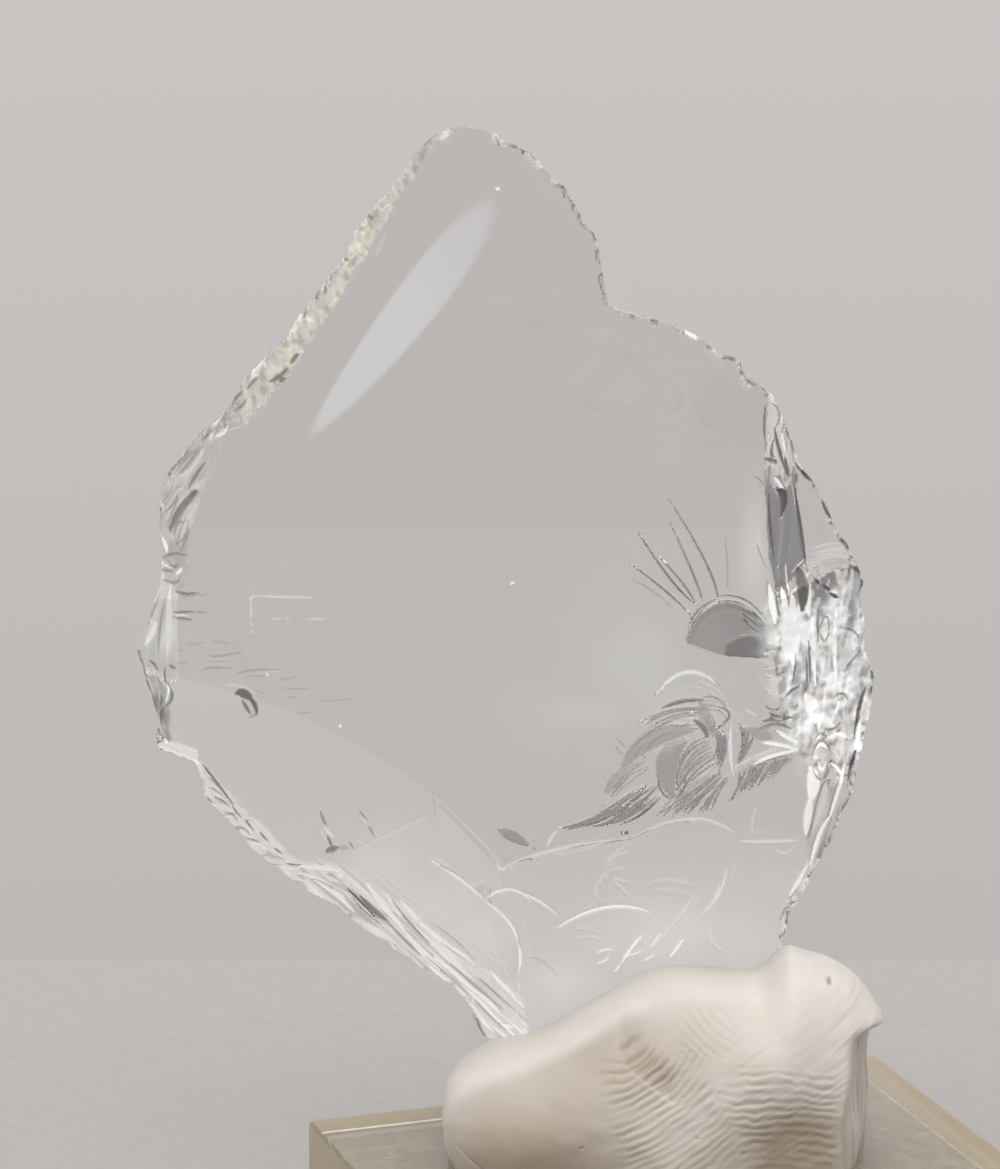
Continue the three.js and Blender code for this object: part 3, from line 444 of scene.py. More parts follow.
    chalk(1.0, 0.22, 0.06, (-9.5, 16.8, -9.6, 16.5, -9.75, 16.3), edge=0.4),
    ink(0.8, 0.08, 0.08, (-12.9, 16.93, -12.5, 17.0, -12.0, 17.1)),
    chalk(0.95, 0.19, 0.05, (-12.0, 16.5, -11.0, 16.1, -10.1, 15.6), (-10.1, 15.6, -9.8, 15.2, -9.35, 14.7),
        (-11.2, 16.0, -9.8, 14.9, -8.8, 13.7), edge=0.4),
    ink(0.24, 0.3, 0.04, (-10.1, 15.95, -9.2, 15.45, -8.4, 15.05), edge=0.7),
    ink(0.35, 0.09, 0.05, (-10.5, 16.5, -10.1, 16.45, -9.9, 16.3), (-11.4, 16.1, -10.4, 15.7, -9.4, 14.9)),
    # its hollow, painted black, and the grey line that leaves it
    ink(0.85, 0.12, 0.12, (-9.2, 15.5, -8.5, 14.7, -7.4, 13.3)),
    ink(0.7, 0.27, 0.12, (-8.4, 15.0, -7.6, 14.0, -6.8, 13.3), edge=0.5),
    ink(0.5, 0.1, 0.1, (-8.9, 14.9, -8.2, 13.9, -7.2, 13.0)),
    ink(0.5, 0.13, 0.08, (-6.9, 13.4, -5.85, 12.05, -4.8, 10.9)),
    # its broad bright bands, painted glints
    chalk(1.0, 0.24, 0.06, (-8.0, 16.0, -7.0, 14.4, -5.7, 12.6), (-5.7, 12.6, -4.8, 11.3, -3.7, 10.0),
        edge=0.35),
    chalk(0.9, 0.17, 0.05, (-7.0, 15.45, -6.2, 14.35, -5.5, 13.5), (-6.0, 14.9, -5.5, 14.3, -4.7, 13.4),
        (-4.8, 13.4, -3.9, 12.6, -2.5, 11.5), edge=0.4),
    ink(0.5, 0.1, 0.08, (-6.5, 14.9, -5.7, 13.7, -4.2, 11.8), (-5.9, 13.8, -5.05, 12.8, -4.2, 11.8)),
    chalk(0.75, 0.5, 0.03, (-4.9, 12.7, -3.9, 11.8, -2.7, 10.6), edge=0.8),
    chalk(1.0, 0.1, 0.05, (-3.6, 12.3, -2.4, 11.5, -1.6, 10.8), (-3.1, 11.9, -2.4, 11.3, -1.6, 10.6)),
    ink(0.3, 0.06, 0.04, (-3.6, 12.0, -2.5, 11.3, -1.6, 10.6), (-4.0, 13.4, -2.6, 12.3, -1.5, 11.0)),
    # its lower end: folds painted bright, with grey between them
    chalk(0.9, 0.18, 0.05, (-8.0, 13.0, -7.3, 12.4, -6.4, 11.6), (-6.1, 10.95, -5.4, 10.4, -4.6, 9.9),
        edge=0.5),
    chalk(1.0, 0.22, 0.06, (-4.3, 10.2, -3.4, 9.4, -2.1, 8.3), (-2.3, 8.9, -1.2, 7.9, -0.1, 6.5),
        (-4.0, 10.9, -2.8, 9.9, -1.5, 8.6), edge=0.5),
    chalk(0.95, 0.15, 0.06, (-2.0, 9.1, -0.8, 8.2, 0.0, 7.3), (-0.6, 10.4, 0.1, 9.6, 0.9, 8.8),
        (-1.8, 7.8, -1.1, 6.6, -0.3, 5.7), (-0.1, 6.45, 0.4, 6.4, 0.8, 6.3)),
    ink(0.42, 0.09, 0.07, (-4.7, 11.0, -3.2, 9.7, -1.6, 8.1), (-3.0, 10.6, -1.6, 9.2, 0.2, 7.6),
        (-1.6, 8.2, -0.8, 7.2, 0.3, 6.1), (-3.4, 9.0, -2.3, 7.9, -1.4, 6.4),
        (-1.2, 9.7, -0.4, 8.9, 0.6, 7.9)),
    # fine streaks and the soft edge of the veil beside it
    chalk(0.3, 0.14, 0.02, (-8.7, 17.8, -6.9, 16.1, -5.2, 14.5), (-6.1, 16.9, -3.9, 14.4, -0.9, 11.8),
        count=6, shake=0.15),
    chalk(0.35, 0.12, 0.02, (-4.8, 14.0, -2.9, 12.9, -0.3, 11.2), (-1.2, 12.8, -0.2, 11.4, 0.5, 10.0),
        count=3, shake=0.1),
    ink(0.2, 0.12, 0.03, (-3.7, 17.6, -3.15, 17.35, -2.6, 17.1)),
    chalk(0.5, 0.13, 0.03, (1.15, 10.0, 1.1, 8.5, 0.9, 6.9)),
    ink(0.1, 0.2, 0.02, (1.8, 11.6, 2.7, 11.2, 3.6, 10.1), edge=0.8),
    # the inner edge of the notch, its hackles and rim, and the ledge over it, painted bright where it
    # refracts a lamp
    ink(0.75, 0.16, 0.08, (-17.7, 23.6, -16.8, 22.2, -16.0, 20.9)),
    ink(0.68, 0.12, 0.08, (-16.0, 20.8, -15.8, 20.3, -15.5, 19.9), (-15.3, 19.8, -15.1, 19.5, -14.8, 19.0),
        (-14.4, 19.05, -14.2, 18.8, -13.9, 18.4), (-13.55, 18.05, -13.35, 17.88, -13.1, 17.7)),
    ink(0.5, 0.11, 0.08, (-17.5, 22.6, -17.0, 22.3, -16.6, 21.7), (-17.4, 21.8, -16.9, 21.6, -16.5, 21.2),
        (-17.2, 21.0, -16.6, 20.9, -16.2, 20.6), (-16.6, 20.1, -16.1, 19.9, -15.8, 19.5),
        (-15.9, 19.0, -15.4, 19.0, -15.1, 18.6), (-15.5, 18.1, -14.9, 18.2, -14.4, 18.1)),
    chalk(0.85, 0.12, 0.06, (-17.1, 21.4, -16.7, 21.3, -16.3, 20.9), (-16.4, 19.8, -15.9, 19.7, -15.5, 19.4),
        (-15.1, 19.3, -15.05, 19.1, -14.95, 18.9), (-15.0, 17.9, -14.5, 17.9, -14.0, 17.8),
        (-14.4, 17.2, -13.9, 17.3, -13.3, 17.2)),
    ink(0.35, 0.13, 0.05, (-14.6, 16.95, -13.8, 17.3, -12.9, 17.2), edge=0.5),
    chalk(0.75, 0.14, 0.05, (-17.6, 21.8, -17.0, 19.9, -15.7, 17.9), (-15.6, 17.4, -14.7, 16.7, -13.6, 16.5),
        (-13.7, 16.5, -12.9, 16.6, -12.0, 16.8)),
    chalk(1.0, 0.38, 0.03, (-20.3, 24.6, -19.8, 24.2, -19.2, 24.15), edge=0.3),
    chalk(1.0, 0.26, 0.03, (-19.3, 24.1, -18.8, 23.95, -18.1, 23.6), edge=0.3),
]

# The lens: a half-round scoop in the back with a straight floor, its painted shade darkest in its lower
# right corner.
LENS = dict(at=(13.4, 29.5), size=(2.5, 3.25), floor=((11.0, 30.1), (13.1, 29.4), (15.6, 29.2)), deep=0.6)
LENS_CORNER = dict(at=(14.6, 29.4), size=(1.35, 1.3))
# The fan: a shallow shell in the back, below the lens and slanting.
FAN = dict(at=(11.8, 22.8), size=(5.0, 2.9), turn=0.42, deep=0.5)

# Crushed glass on the right: its left limit at several heights, and patches whiter or clearer than the rest.
CRUSH_LEFT = (
    (20.5, 18.5), (23.0, 17.9), (25.0, 17.1), (27.0, 16.7), (29.0, 15.7), (31.0, 15.3), (35.0, 15.1),
)
CRUSH_PATCHES = (
    dict(at=(17.3, 31.2), size=(1.2, 2.0), white=0.3),
    dict(at=(18.6, 26.8), size=(1.0, 1.5), white=0.2),
    dict(at=(16.0, 29.2), size=(1.0, 1.3), white=-0.3),
    dict(at=(19.2, 23.6), size=(1.0, 1.0), white=-0.15),
    dict(at=(20.9, 28.5), size=(0.9, 3.0), white=0.14),
    dict(at=(19.3, 31.7), size=(0.8, 1.0), white=0.28),
    dict(at=(18.9, 29.5), size=(0.8, 1.2), white=0.28),
)
# Faint haze, on the back (True) or the front (False).
HAZE = (
    dict(at=(8.0, 28.8), size=(2.6, 3.6), white=0.38, back=True),
    dict(at=(10.2, 26.6), size=(2.2, 1.6), white=0.34, back=True),
    dict(at=(5.2, 25.8), size=(3.2, 1.4), white=0.34, back=True),
    dict(at=(14.9, 37.0), size=(0.7, 3.0), white=0.34, back=False),
    dict(at=(10.0, 12.9), size=(4.5, 2.2), white=0.42, back=False),
    dict(at=(14.0, 12.5), size=(3.0, 2.0), white=0.25, back=False),
    dict(at=(-1.2, 13.0), size=(2.0, 2.2), white=0.42, back=False),
    dict(at=(-3.6, 14.8), size=(2.2, 1.8), white=0.38, back=False),
    dict(at=(-7.4, 17.2), size=(2.2, 1.4), white=0.3, back=False),
    dict(at=(3.8, 9.8), size=(2.4, 1.8), white=0.35, back=False),
)

# The grid that the faces are worked out on, and how near a stroke, a ridge or the outline a point lies where
# the grid is halved once, twice and three times.
GRID_MIDDLE, GRID_HALF, GRID_STEP = (0.5, 32.0), (24.0, 32.0), 0.52
NEAR_STROKE, NEAR_RIDGE, NEAR_EDGE = (0.25, 0.1, 0.03), (0.16, 0.07), (0.7, 0.3, 0.0)
STROKE_RIM = 0.1    # the finest grid follows the rims of the strokes, this wide
TOP = 63.0          # the flake ends below here
FAR = 20.0          # the blocks that are cut to the flake reach this far to the front and back
MAP_LOW, MAP_HIGH, MAP_STEP = (-24.0, -1.0), (25.0, 64.0), 0.2      # where distances to the outline are kept

# The putty, in the flake's frame: middle and half sizes, how square its sides are (0 for a round one), how
# high it rises, its flat right side, where its front is pressed in, where painted shade lies on it, and its
# pits.
PUTTY_MIDDLE = (9.3, -3.1, 2.0)
PUTTY_HALF = {"left": 12.8, "right": 13.4, "depth": 10.5}
PUTTY_SQUARE = {"left": 0.25, "right": 0.5, "depth": 0.25}
PUTTY_CREST = {"least": 4.65, "middle": 4.25, "lobe": 2.2}
PUTTY_WALL = {"x": 20.5, "y": -9, "slope": 0.2, "top": 7.4}
PUTTY_HOLLOWS = (
    dict(at=(9.5, 6.6), size=(3.2, 2.6), deep=0.9),
    dict(at=(17.2, 4.4), size=(3.4, 3.2), deep=1.1),
)
PUTTY_SHADES = (
    dict(at=(10.0, 8.9), size=(4.6, 1.8), dark=0.55),
    dict(at=(5.5, 7.6), size=(3.2, 1.9), dark=0.36),
    dict(at=(18.2, 9.0), size=(2.4, 2.2), dark=0.3),
)
PUTTY_PITS = ((19.5, 11.4, 0.13), (4.7, 3.7, 0.1), (11.4, 4.3, 0.1), (14.1, 3.3, 0.09), (5.1, 9.2, 0.07))
FOOT_SHRINK = 0.05      # the putty hugs the flake's foot a little tighter than its size
FOOT_TOP = 17.0         # everything of the flake that the putty touches lies below here
SKIN_RIDGE = 0.42       # from one pressed skin ridge to the next
BLOCK_BEVEL = 0.35
BLOCK_BAND = 2.5        # width of the golden band along two of the block's sides


# ------------------------------------------------------------------ repeatable noise, on arrays

def lattice(i, j, seed):
    """A number from -1 to 1 for each whole pair i, j."""
    h = (i * 374761393 + j * 668265263 + seed * 974634777) & 0xFFFFFFFF
    h = ((h ^ (h >> 13)) * 1274126177) & 0xFFFFFFFF
    return ((h ^ (h >> 16)) & 0xFFFF) / 32767.5 - 1


def noise(x, z, seed=0):
    """Smooth value noise, with features about one unit across."""
    i, j = np.floor(x).astype(np.int64), np.floor(z).astype(np.int64)
    u, w = x - i, z - j
    u, w = u * u * (3 - 2 * u), w * w * (3 - 2 * w)
    low = lattice(i, j, seed) * (1 - u) + lattice(i + 1, j, seed) * u
    high = lattice(i, j + 1, seed) * (1 - u) + lattice(i + 1, j + 1, seed) * u
    return low * (1 - w) + high * w


def rough(x, z, size, seed=0, octaves=3):
    """Several sizes of noise together."""
    total, height = 0, 1
    for octave in range(octaves):
        total = total + height * noise(x / size, z / size, seed + octave)
        size, height = size * 0.5, height * 0.55
    return total


def streaks(x, z, angle, pitch, length, seed=0):
    """Grooves that run along `angle` from +x, `pitch` apart and about `length` long."""
    along = x * math.cos(angle) + z * math.sin(angle)
    across = -x * math.sin(angle) + z * math.cos(angle)
    wide = noise(across / pitch, along / length, seed)
    fine = noise(across / pitch * 2.3, along / length * 1.7, seed + 7)
    return 1 - 2 * np.abs(wide) + 0.45 * fine


def smooth(low, high, value):
    """0 below low, 1 above high, and a soft step between."""
    t = np.clip((value - low) / (high - low), 0, 1)
    return t * t * (3 - 2 * t)


def across_patch(patch, x, z):
    """How far right of a patch's middle and above it each point lies, in half sizes of the patch."""
    return ((value - at) / size for value, at, size in zip((x, z), patch["at"], patch["size"]))


def patch_weight(patch, x, z):
    """1 in the middle of a soft patch, and close to 0 outside it."""
    across, up = across_patch(patch, x, z)
    return np.exp(-(across**2 + up**2))


# ------------------------------------------------------------------ fracture faces, on arrays

def outside(windows, x, z):
    """How far each point lies outside the nearest of several windows."""
    nearest = np.full_like(x, np.inf)
    for window in windows:
        far = np.zeros_like(x)
        for (ax, az), (bx, bz) in zip(window, (*window[1:], window[0])):
            length = math.hypot(bx - ax, bz - az)
            far = np.maximum(far, ((bx - ax) * (z - az) - (bz - az) * (x - ax)) / length)
        nearest = np.minimum(nearest, far)
    return nearest


def sheet(face, x, z):
    """Depth of a fracture face."""
    dx, dz = x - face["at"][0], z - face["at"][1]
    bow_x, bow_z = face.get("bow", FLAT)
    slope_x, slope_z = face["slope"]
    depth = face["y"] + slope_x * dx + slope_z * dz + dx * dx / (2 * bow_x) + dz * dz / (2 * bow_z)
    return depth - DROP * outside(face["windows"], x, z) if "windows" in face else depth


def stroke_lines(families):
    """Every stroke as a short chain of points, with its family."""
    made = []
    for family in families:
        keys, count, shake = family["keys"], family["count"], family["shake"]
        for number in range(count):
            spot = number / max(count - 1, 1) * (len(keys) - 1)
            low = min(int(spot), max(len(keys) - 2, 0))
            high = min(low + 1, len(keys) - 1)
            start, middle, end = (
                point + shake * np.array([lattice(len(made), k, 1), lattice(len(made), k, 2)])
                for k, point in enumerate(keys[low] + (keys[high] - keys[low]) * (spot - low))
            )
            t = np.linspace(0, 1, 9)[:, None]
            bend = 2 * middle - (start + end) / 2
            made.append(((1 - t) ** 2 * start + 2 * t * (1 - t) * bend + t * t * end, family))
    return made


def drawn(lines, x, z):
    """What strokes leave at each point: height, darkness, whiteness, and how far off a stroke's edge is."""
    height, dark, white = (np.zeros_like(x) for _ in range(3))
    gap = np.full_like(x, 9.0)
    for line, family in lines:
        half = family["half"]
        low, high = line.min(axis=0) - half - 0.4, line.max(axis=0) + half + 0.4
        near = np.flatnonzero((x > low[0]) & (x < high[0]) & (z > low[1]) & (z < high[1]))
        if near.size == 0:
            continue
        best, along = np.full(near.size, 9.0), np.zeros(near.size)
        for k, (a, b) in enumerate(zip(line[:-1], line[1:])):
            step = b - a
            from_x, from_z = x[near] - a[0], z[near] - a[1]
            t = np.clip((from_x * step[0] + from_z * step[1]) / (step @ step), 0, 1)
            off = np.hypot(from_x - t * step[0], from_z - t * step[1])
            along = np.where(off < best, (k + t) / (len(line) - 1), along)
            best = np.minimum(best, off)
        taper = np.sqrt(np.sin(math.pi * np.clip(along, 0.03, 0.97)))
        inside = np.clip(1 - best / (half * taper), 0, 1)
        tone = smooth(0, family["edge"], inside)
        cut = family["deep"] * inside
        height[near] = np.where(np.abs(cut) > np.abs(height[near]), cut, height[near])
        dark[near] = np.maximum(dark[near], family["dark"] * tone)
        white[near] = np.maximum(white[near], family["white"] * tone)
        depth = half * taper - best
        gap[near] = np.minimum(gap[near], np.maximum(-depth, depth - STROKE_RIM))
    return height, dark, white, gap


BACK_LINES, FRONT_LINES = stroke_lines(BACK_STROKES), stroke_lines(FRONT_STROKES)


def lens(x, z):
    """1 in the lens and 0 outside, how far from its middle (1 at its rim), and 1 in its corner, where the
    painted shade is darkest.
    """
    radius = np.hypot(*across_patch(LENS, x, z))
    (ax, az), (bx, bz), (cx, cz) = LENS["floor"]
    floor = np.where(x < bx, az + (x - ax) * (bz - az) / (bx - ax), bz + (x - bx) * (cz - bz) / (cx - bx))
    bowl = smooth(1.02, 0.94, radius) * smooth(-0.05, 0.05, z - floor)
    corner = np.hypot(*across_patch(LENS_CORNER, x, z))
    return bowl, radius, bowl * smooth(1.0, 0.93, corner)


def fan(x, z):
    """How deep a point is in the shallow shell round the fan, from 0 at its rim to 1."""
    dx, dz = x - FAN["at"][0], z - FAN["at"][1]
    across = (dx * math.cos(FAN["turn"]) + dz * math.sin(FAN["turn"])) / FAN["size"][0]
    up = (-dx * math.sin(FAN["turn"]) + dz * math.cos(FAN["turn"])) / FAN["size"][1]
    return np.clip(1 - across**2 - up**2, 0, 1)


def outline_points(step=0.3):
    """The outline as a smooth closed line with small chips in it."""
    points = np.array(OUTLINE)
    before, after, after2 = (np.roll(points, n, axis=0) for n in (1, -1, -2))
    line = []
    for a, b, c, d in zip(before, points, after, after2):
        count = max(1, round(float(np.linalg.norm(c - b)) / step))
        for t in np.arange(count) / count:
            curve = 2 * b + (c - a) * t + (2 * a - 5 * b + 4 * c - d) * t**2 + (3 * b - a - 3 * c + d) * t**3
            line.append(curve / 2)
    line = np.array(line)
    ahead = np.roll(line, -1, axis=0) - np.roll(line, 1, axis=0)
    outward = np.stack([-ahead[:, 1], ahead[:, 0]], axis=1) / np.linalg.norm(ahead, axis=1)[:, None]
    x, z = line[:, 0], line[:, 1]
    chips = 0.10 * rough(x, z, 0.9, seed=3) - 0.05
    return line + outward * chips[:, None]


EDGE = outline_points()


def edge_map():
    """Distances to the outline on a lattice that covers the flake."""
    spans = (np.arange(low, high, MAP_STEP) for low, high in zip(MAP_LOW, MAP_HIGH))
    x, z = np.meshgrid(*spans, indexing="ij")
    best = np.full(x.shape, 1e9)
    for (ax, az), (bx, bz) in zip(EDGE, np.roll(EDGE, -1, axis=0)):
        length = (bx - ax) ** 2 + (bz - az) ** 2
        t = np.clip(((x - ax) * (bx - ax) + (z - az) * (bz - az)) / length, 0, 1)
        best = np.minimum(best, (x - ax - t * (bx - ax)) ** 2 + (z - az - t * (bz - az)) ** 2)
    return np.sqrt(best)


EDGE_MAP = edge_map()


def edge_distance(x, z):
    """Distance to the outline, on either side of it, read off the map."""
    i, j = ((value - low) / MAP_STEP for value, low in zip((x, z), MAP_LOW))
    i, j = (np.clip(value, 0, size - 1.001) for value, size in zip((i, j), EDGE_MAP.shape))
    i0, j0 = i.astype(int), j.astype(int)
    u, w = i - i0, j - j0
    low = EDGE_MAP[i0, j0] * (1 - u) + EDGE_MAP[i0 + 1, j0] * u
    high = EDGE_MAP[i0, j0 + 1] * (1 - u) + EDGE_MAP[i0 + 1, j0 + 1] * u
    return low * (1 - w) + high * w


def front_sheets(x, z):
    """The depth of every front face, with its own surface detail."""
    depths = {name: sheet(face, x, z) for name, face in FRONT.items()}
    depths["step"] = np.minimum.reduce([sheet(face, x, z) for face in STEP.values()])
    depths["left_bevel"] += 0.14 * rough(x, z, 0.55, seed=11)
    depths["left_facet"] += 0.02 * rough(x, z, 1.4, seed=23)
    depths["blow"] += 0.22 * rough(x, z, 0.8, seed=35)
    for name, (height, degrees, pitch, length, seed) in GROOVES.items():
        reach = smooth(19.0, 17.6, x) if name == "step" else 1
        depths[name] += height * streaks(x, z, math.radians(degrees), pitch, length, seed) * reach
    return depths


def front_faces(x, z):
    """Which front face each point lies on, and how far that stands out from the next one."""
    depths = front_sheets(x, z)
    stack = np.stack(list(depths.values()))
    lower, upper = np.sort(stack, axis=0)[-2:]
    return np.array(list(depths))[stack.argmax(axis=0)], upper - lower


def chipped_edge(x, z, distance, seed):
    """How far small chips along the edge bite into a face."""
    reach = 0.12 + 0.16 * rough(x, z, 0.7, seed=seed)
    return 1.4 * (reach - distance)


def front_depth(x, z):
    """The front of the flake: the deepest of its faces, with ridges very slightly rounded."""
    depths = np.stack(list(front_sheets(x, z).values()))
    top = depths.max(axis=0)
    soft = top + RIDGE_ROUND * np.log(np.exp((depths - top) / RIDGE_ROUND).sum(axis=0))
    chips = chipped_edge(x, z, edge_distance(x, z), seed=41)
    return np.maximum(soft, soft + chips) + drawn(FRONT_LINES, x, z)[0]


def back_depth(x, z):
    """The back of the flake, as the solid has it and with chips in it."""
    depths = np.stack([sheet(face, x, z) for face in BACK.values()])
    low = depths.min(axis=0)
    soft = low - BACK_BLEND * np.log(np.exp((low - depths) / BACK_BLEND).sum(axis=0))
    chips = chipped_edge(x, z, edge_distance(x, z), seed=43)
    bowl, radius, corner = lens(x, z)
    scoops = bowl * LENS["deep"] * (0.4 + 0.6 * (1 - radius)) + 0.3 * corner + FAN["deep"] * fan(x, z)
    return np.minimum(soft, soft - chips) - scoops - drawn(BACK_LINES, x, z)[0]


# ------------------------------------------------------------------ meshes

def squared(value, amount):
    """Bulges -1 to 1 outwards, so that a ball's side gets flatter."""
    return (1 + amount) * value - amount * value**3


def putty_skin(unit):
    """Carries points of the unit ball to the putty's skin, in the flake's frame."""
    ux, uy, uz = unit.T
    left, right = (PUTTY_HALF[end] * squared(ux, PUTTY_SQUARE[end]) for end in ("left", "right"))
    x = PUTTY_MIDDLE[0] + np.where(ux < 0, left, right)
    y = PUTTY_MIDDLE[1] + PUTTY_HALF["depth"] * squared(uy, PUTTY_SQUARE["depth"])
    crest = PUTTY_CREST["least"] + PUTTY_CREST["middle"] * smooth(0.2, 11.2, x)
    steep = np.clip(uz / np.sqrt(np.maximum(1 - ux**2, 0.01)), 0, 1)
    lobe = PUTTY_CREST["lobe"] * smooth(15.2, 17.6, x) * steep**4
    z = PUTTY_MIDDLE[2] + crest * np.sign(uz) * np.abs(uz) ** 0.8 + lobe
    front = smooth(-3.0, -6.0, y)
    for hollow in PUTTY_HOLLOWS:
        y = y + hollow["deep"] * front * patch_weight(hollow, x, z)
    wall = PUTTY_WALL["x"] + PUTTY_WALL["slope"] * (y - PUTTY_WALL["y"]) + 0.10 * np.sin(z * 1.1)
    lip = PUTTY_WALL["top"] - 0.2 * (y + 1)
    over = np.logaddexp(0, (x - wall) / 0.12) * 0.12
    x = x - over * smooth(lip + 0.5, lip - 0.5, z)
    x = x + 0.35 * np.exp(-(((z - lip - 0.7) / 0.8) ** 2)) * smooth(20.0, 22.0, x)
    return np.stack([x, y, z], axis=1)


def skin_ridges(x, z, wave, arc):
    """Three groups of pressed skin ridges, from -1 to 1: arcs, level lines and a few slanting ones."""
    level = z + 0.04 * (x - 14) + 0.012 * np.maximum(x - 15.5, 0) ** 2 + 1.5 * wave
    slant = 0.57 * (x - 11) + 0.82 * (z - 9.5) + wave
    side = x + 0.35 * (z - 5)
    on_arc = smooth(13.7, 12.5, side) * smooth(5.8, 7.4, side) * smooth(4.6, 5.4, arc) * smooth(9.3, 8.5, z)
    on_level = smooth(12.9, 14.2, side) * smooth(20.0, 19.0, x) * smooth(8.3, 7.5, z + 0.12 * (x - 15))
    on_slant = smooth(8.9, 10.0, x) * smooth(14.6, 12.6, x) * smooth(8.3, 8.9, z) * smooth(10.9, 9.9, z)
    patchy = smooth(-1.0, 0.2, noise(x * 0.6, z * 0.9, 55)) * (0.75 + 0.35 * noise(x * 1.5, z * 1.5, 56))
    ridges = on_arc * np.sin(2 * math.pi * arc / SKIN_RIDGE)
    ridges += 1.1 * on_level * np.sin(2 * math.pi * level / (1.15 * SKIN_RIDGE))
    ridges += 0.7 * on_slant * np.sin(2 * math.pi * slant / (0.9 * SKIN_RIDGE))
    return ridges * patchy


def putty_shadow(x, y, z, front):
    """Painted shade on the putty's front: low down, under its bulge, in its hollow and round the flake."""
    low = smooth(-6.0, -13.0, y) * smooth(9.5, 2.5, z) * (0.38 - 0.14 * np.exp(-(((x - 10.5) / 3.0) ** 2)))
    under = 0.62 * smooth(10.4, 3.2, z) * smooth(10.5, 2.0, x) * (0.4 + 0.6 * smooth(-4.2, -0.5, x))
    hollow = 0.85 * np.exp(-(((x - 17.2) / 2.6) ** 2)) * smooth(7.0, 3.4, z)
    above = sum(patch["dark"] * patch_weight(patch, x, z) for patch in PUTTY_SHADES)
    return low + (under + hollow + above) * front


def putty_relief(x, y, z):
    """Height of the skin ridges, hand marks and pits on the putty, and how dark each point is with painted
    shade and dark pits.
    """
    front = smooth(-5.5, -8.0, y)
    wave = 0.12 * noise(x * 0.8, z * 0.8, 51) + 0.05 * noise(x * 2.1, z * 2.1, 52)
    arc = np.hypot(x - 5.1, z - 12.6) + wave
    ridges = front * skin_ridges(x, z, wave, arc)
    # a fingernail's dent: a step with a raised rim, hatched inside, and darkened there with painted shade
    into = 0.578 * (x - 6.9) + 0.816 * (z - 8.3)
    dent = smooth(-0.1, 0.12, into) * smooth(2.0, 0.7, into) * smooth(6.7, 7.2, x) * smooth(10.4, 9.6, x)
    dent = dent * front
    rim = np.exp(-((into / 0.3) ** 2)) * smooth(7.2, 8.2, x) * smooth(10.2, 9.4, x) * front
    hatch = dent * np.clip(np.sin(2 * math.pi * arc / (1.3 * SKIN_RIDGE)), 0, 1)
    lines = streaks(x, z, math.radians(25), 0.35, 2.5, seed=57) * (0.004 + 0.014 * smooth(4.0, 9.0, x))
    lumps = 0.10 * rough(x + 0.4 * y, z + 0.3 * y, 3.2, seed=59)
    pits = np.zeros_like(x)
    for px, pz, wide in PUTTY_PITS:
        pits = np.maximum(pits, smooth(1.5 * wide, 0.6 * wide, np.hypot(x - px, z - pz)) * (y < -3.5))
    # a crease low on the left, cut in and darkened with painted shade
    crease = np.abs(z - 1.0 + 0.5 * (x - 0.2))
    crease = smooth(0.12, 0.02, crease) * smooth(-2.9, -2.2, x) * smooth(0.9, 0.2, x) * smooth(-4.0, -6.0, y)
    height = 0.034 * ridges + lumps + lines
    height += 0.05 * rim - 0.16 * dent - 0.05 * hatch - 0.1 * pits - 0.12 * crease
    # painted shade in the troughs of the skin ridges, and on the front
    shade = np.clip(-ridges, 0, 1) * 0.36 + putty_shadow(x, y, z, front)
    # the right wall, turned from the light, gets painted shade in soft streaks
    wall = smooth(20.2, 20.9, x) * smooth(8.4, 7.2, z)
    lit = 0.25 + 0.45 * smooth(0.0, 0.7, noise(y * 1.7, z * 0.25, 61))
    shade = np.maximum.reduce([shade, 0.8 * pits, 0.5 * crease, 0.8 * wall * lit])
    return height, shade + (0.1 * dent + 0.3 * hatch) * (1 - wall)


def mesh_object(name, bm):
    """A new object from a bmesh, in the scene."""
    mesh = bpy.data.meshes.new(name)
    bm.to_mesh(mesh)
    bm.free()
    obj = bpy.data.objects.new(name, mesh)
    bpy.context.scene.collection.objects.link(obj)
    return obj


def coords(bm):
    """All vertex places of a bmesh as an array."""
    return np.array([v.co[:] for v in bm.verts])


def refine(bm, wanted):
    """Halves the grid wherever wanted(x, z, level) is true, level after level."""
    for level in range(len(NEAR_STROKE)):
        bm.verts.index_update()
        place = coords(bm)
        marked = wanted(place[:, 0], place[:, 2], level)
        edges = [e for e in bm.edges if marked[e.verts[0].index] or marked[e.verts[1].index]]
        bmesh.ops.subdivide_edges(bm, edges=edges, cuts=1, use_grid_fill=True)


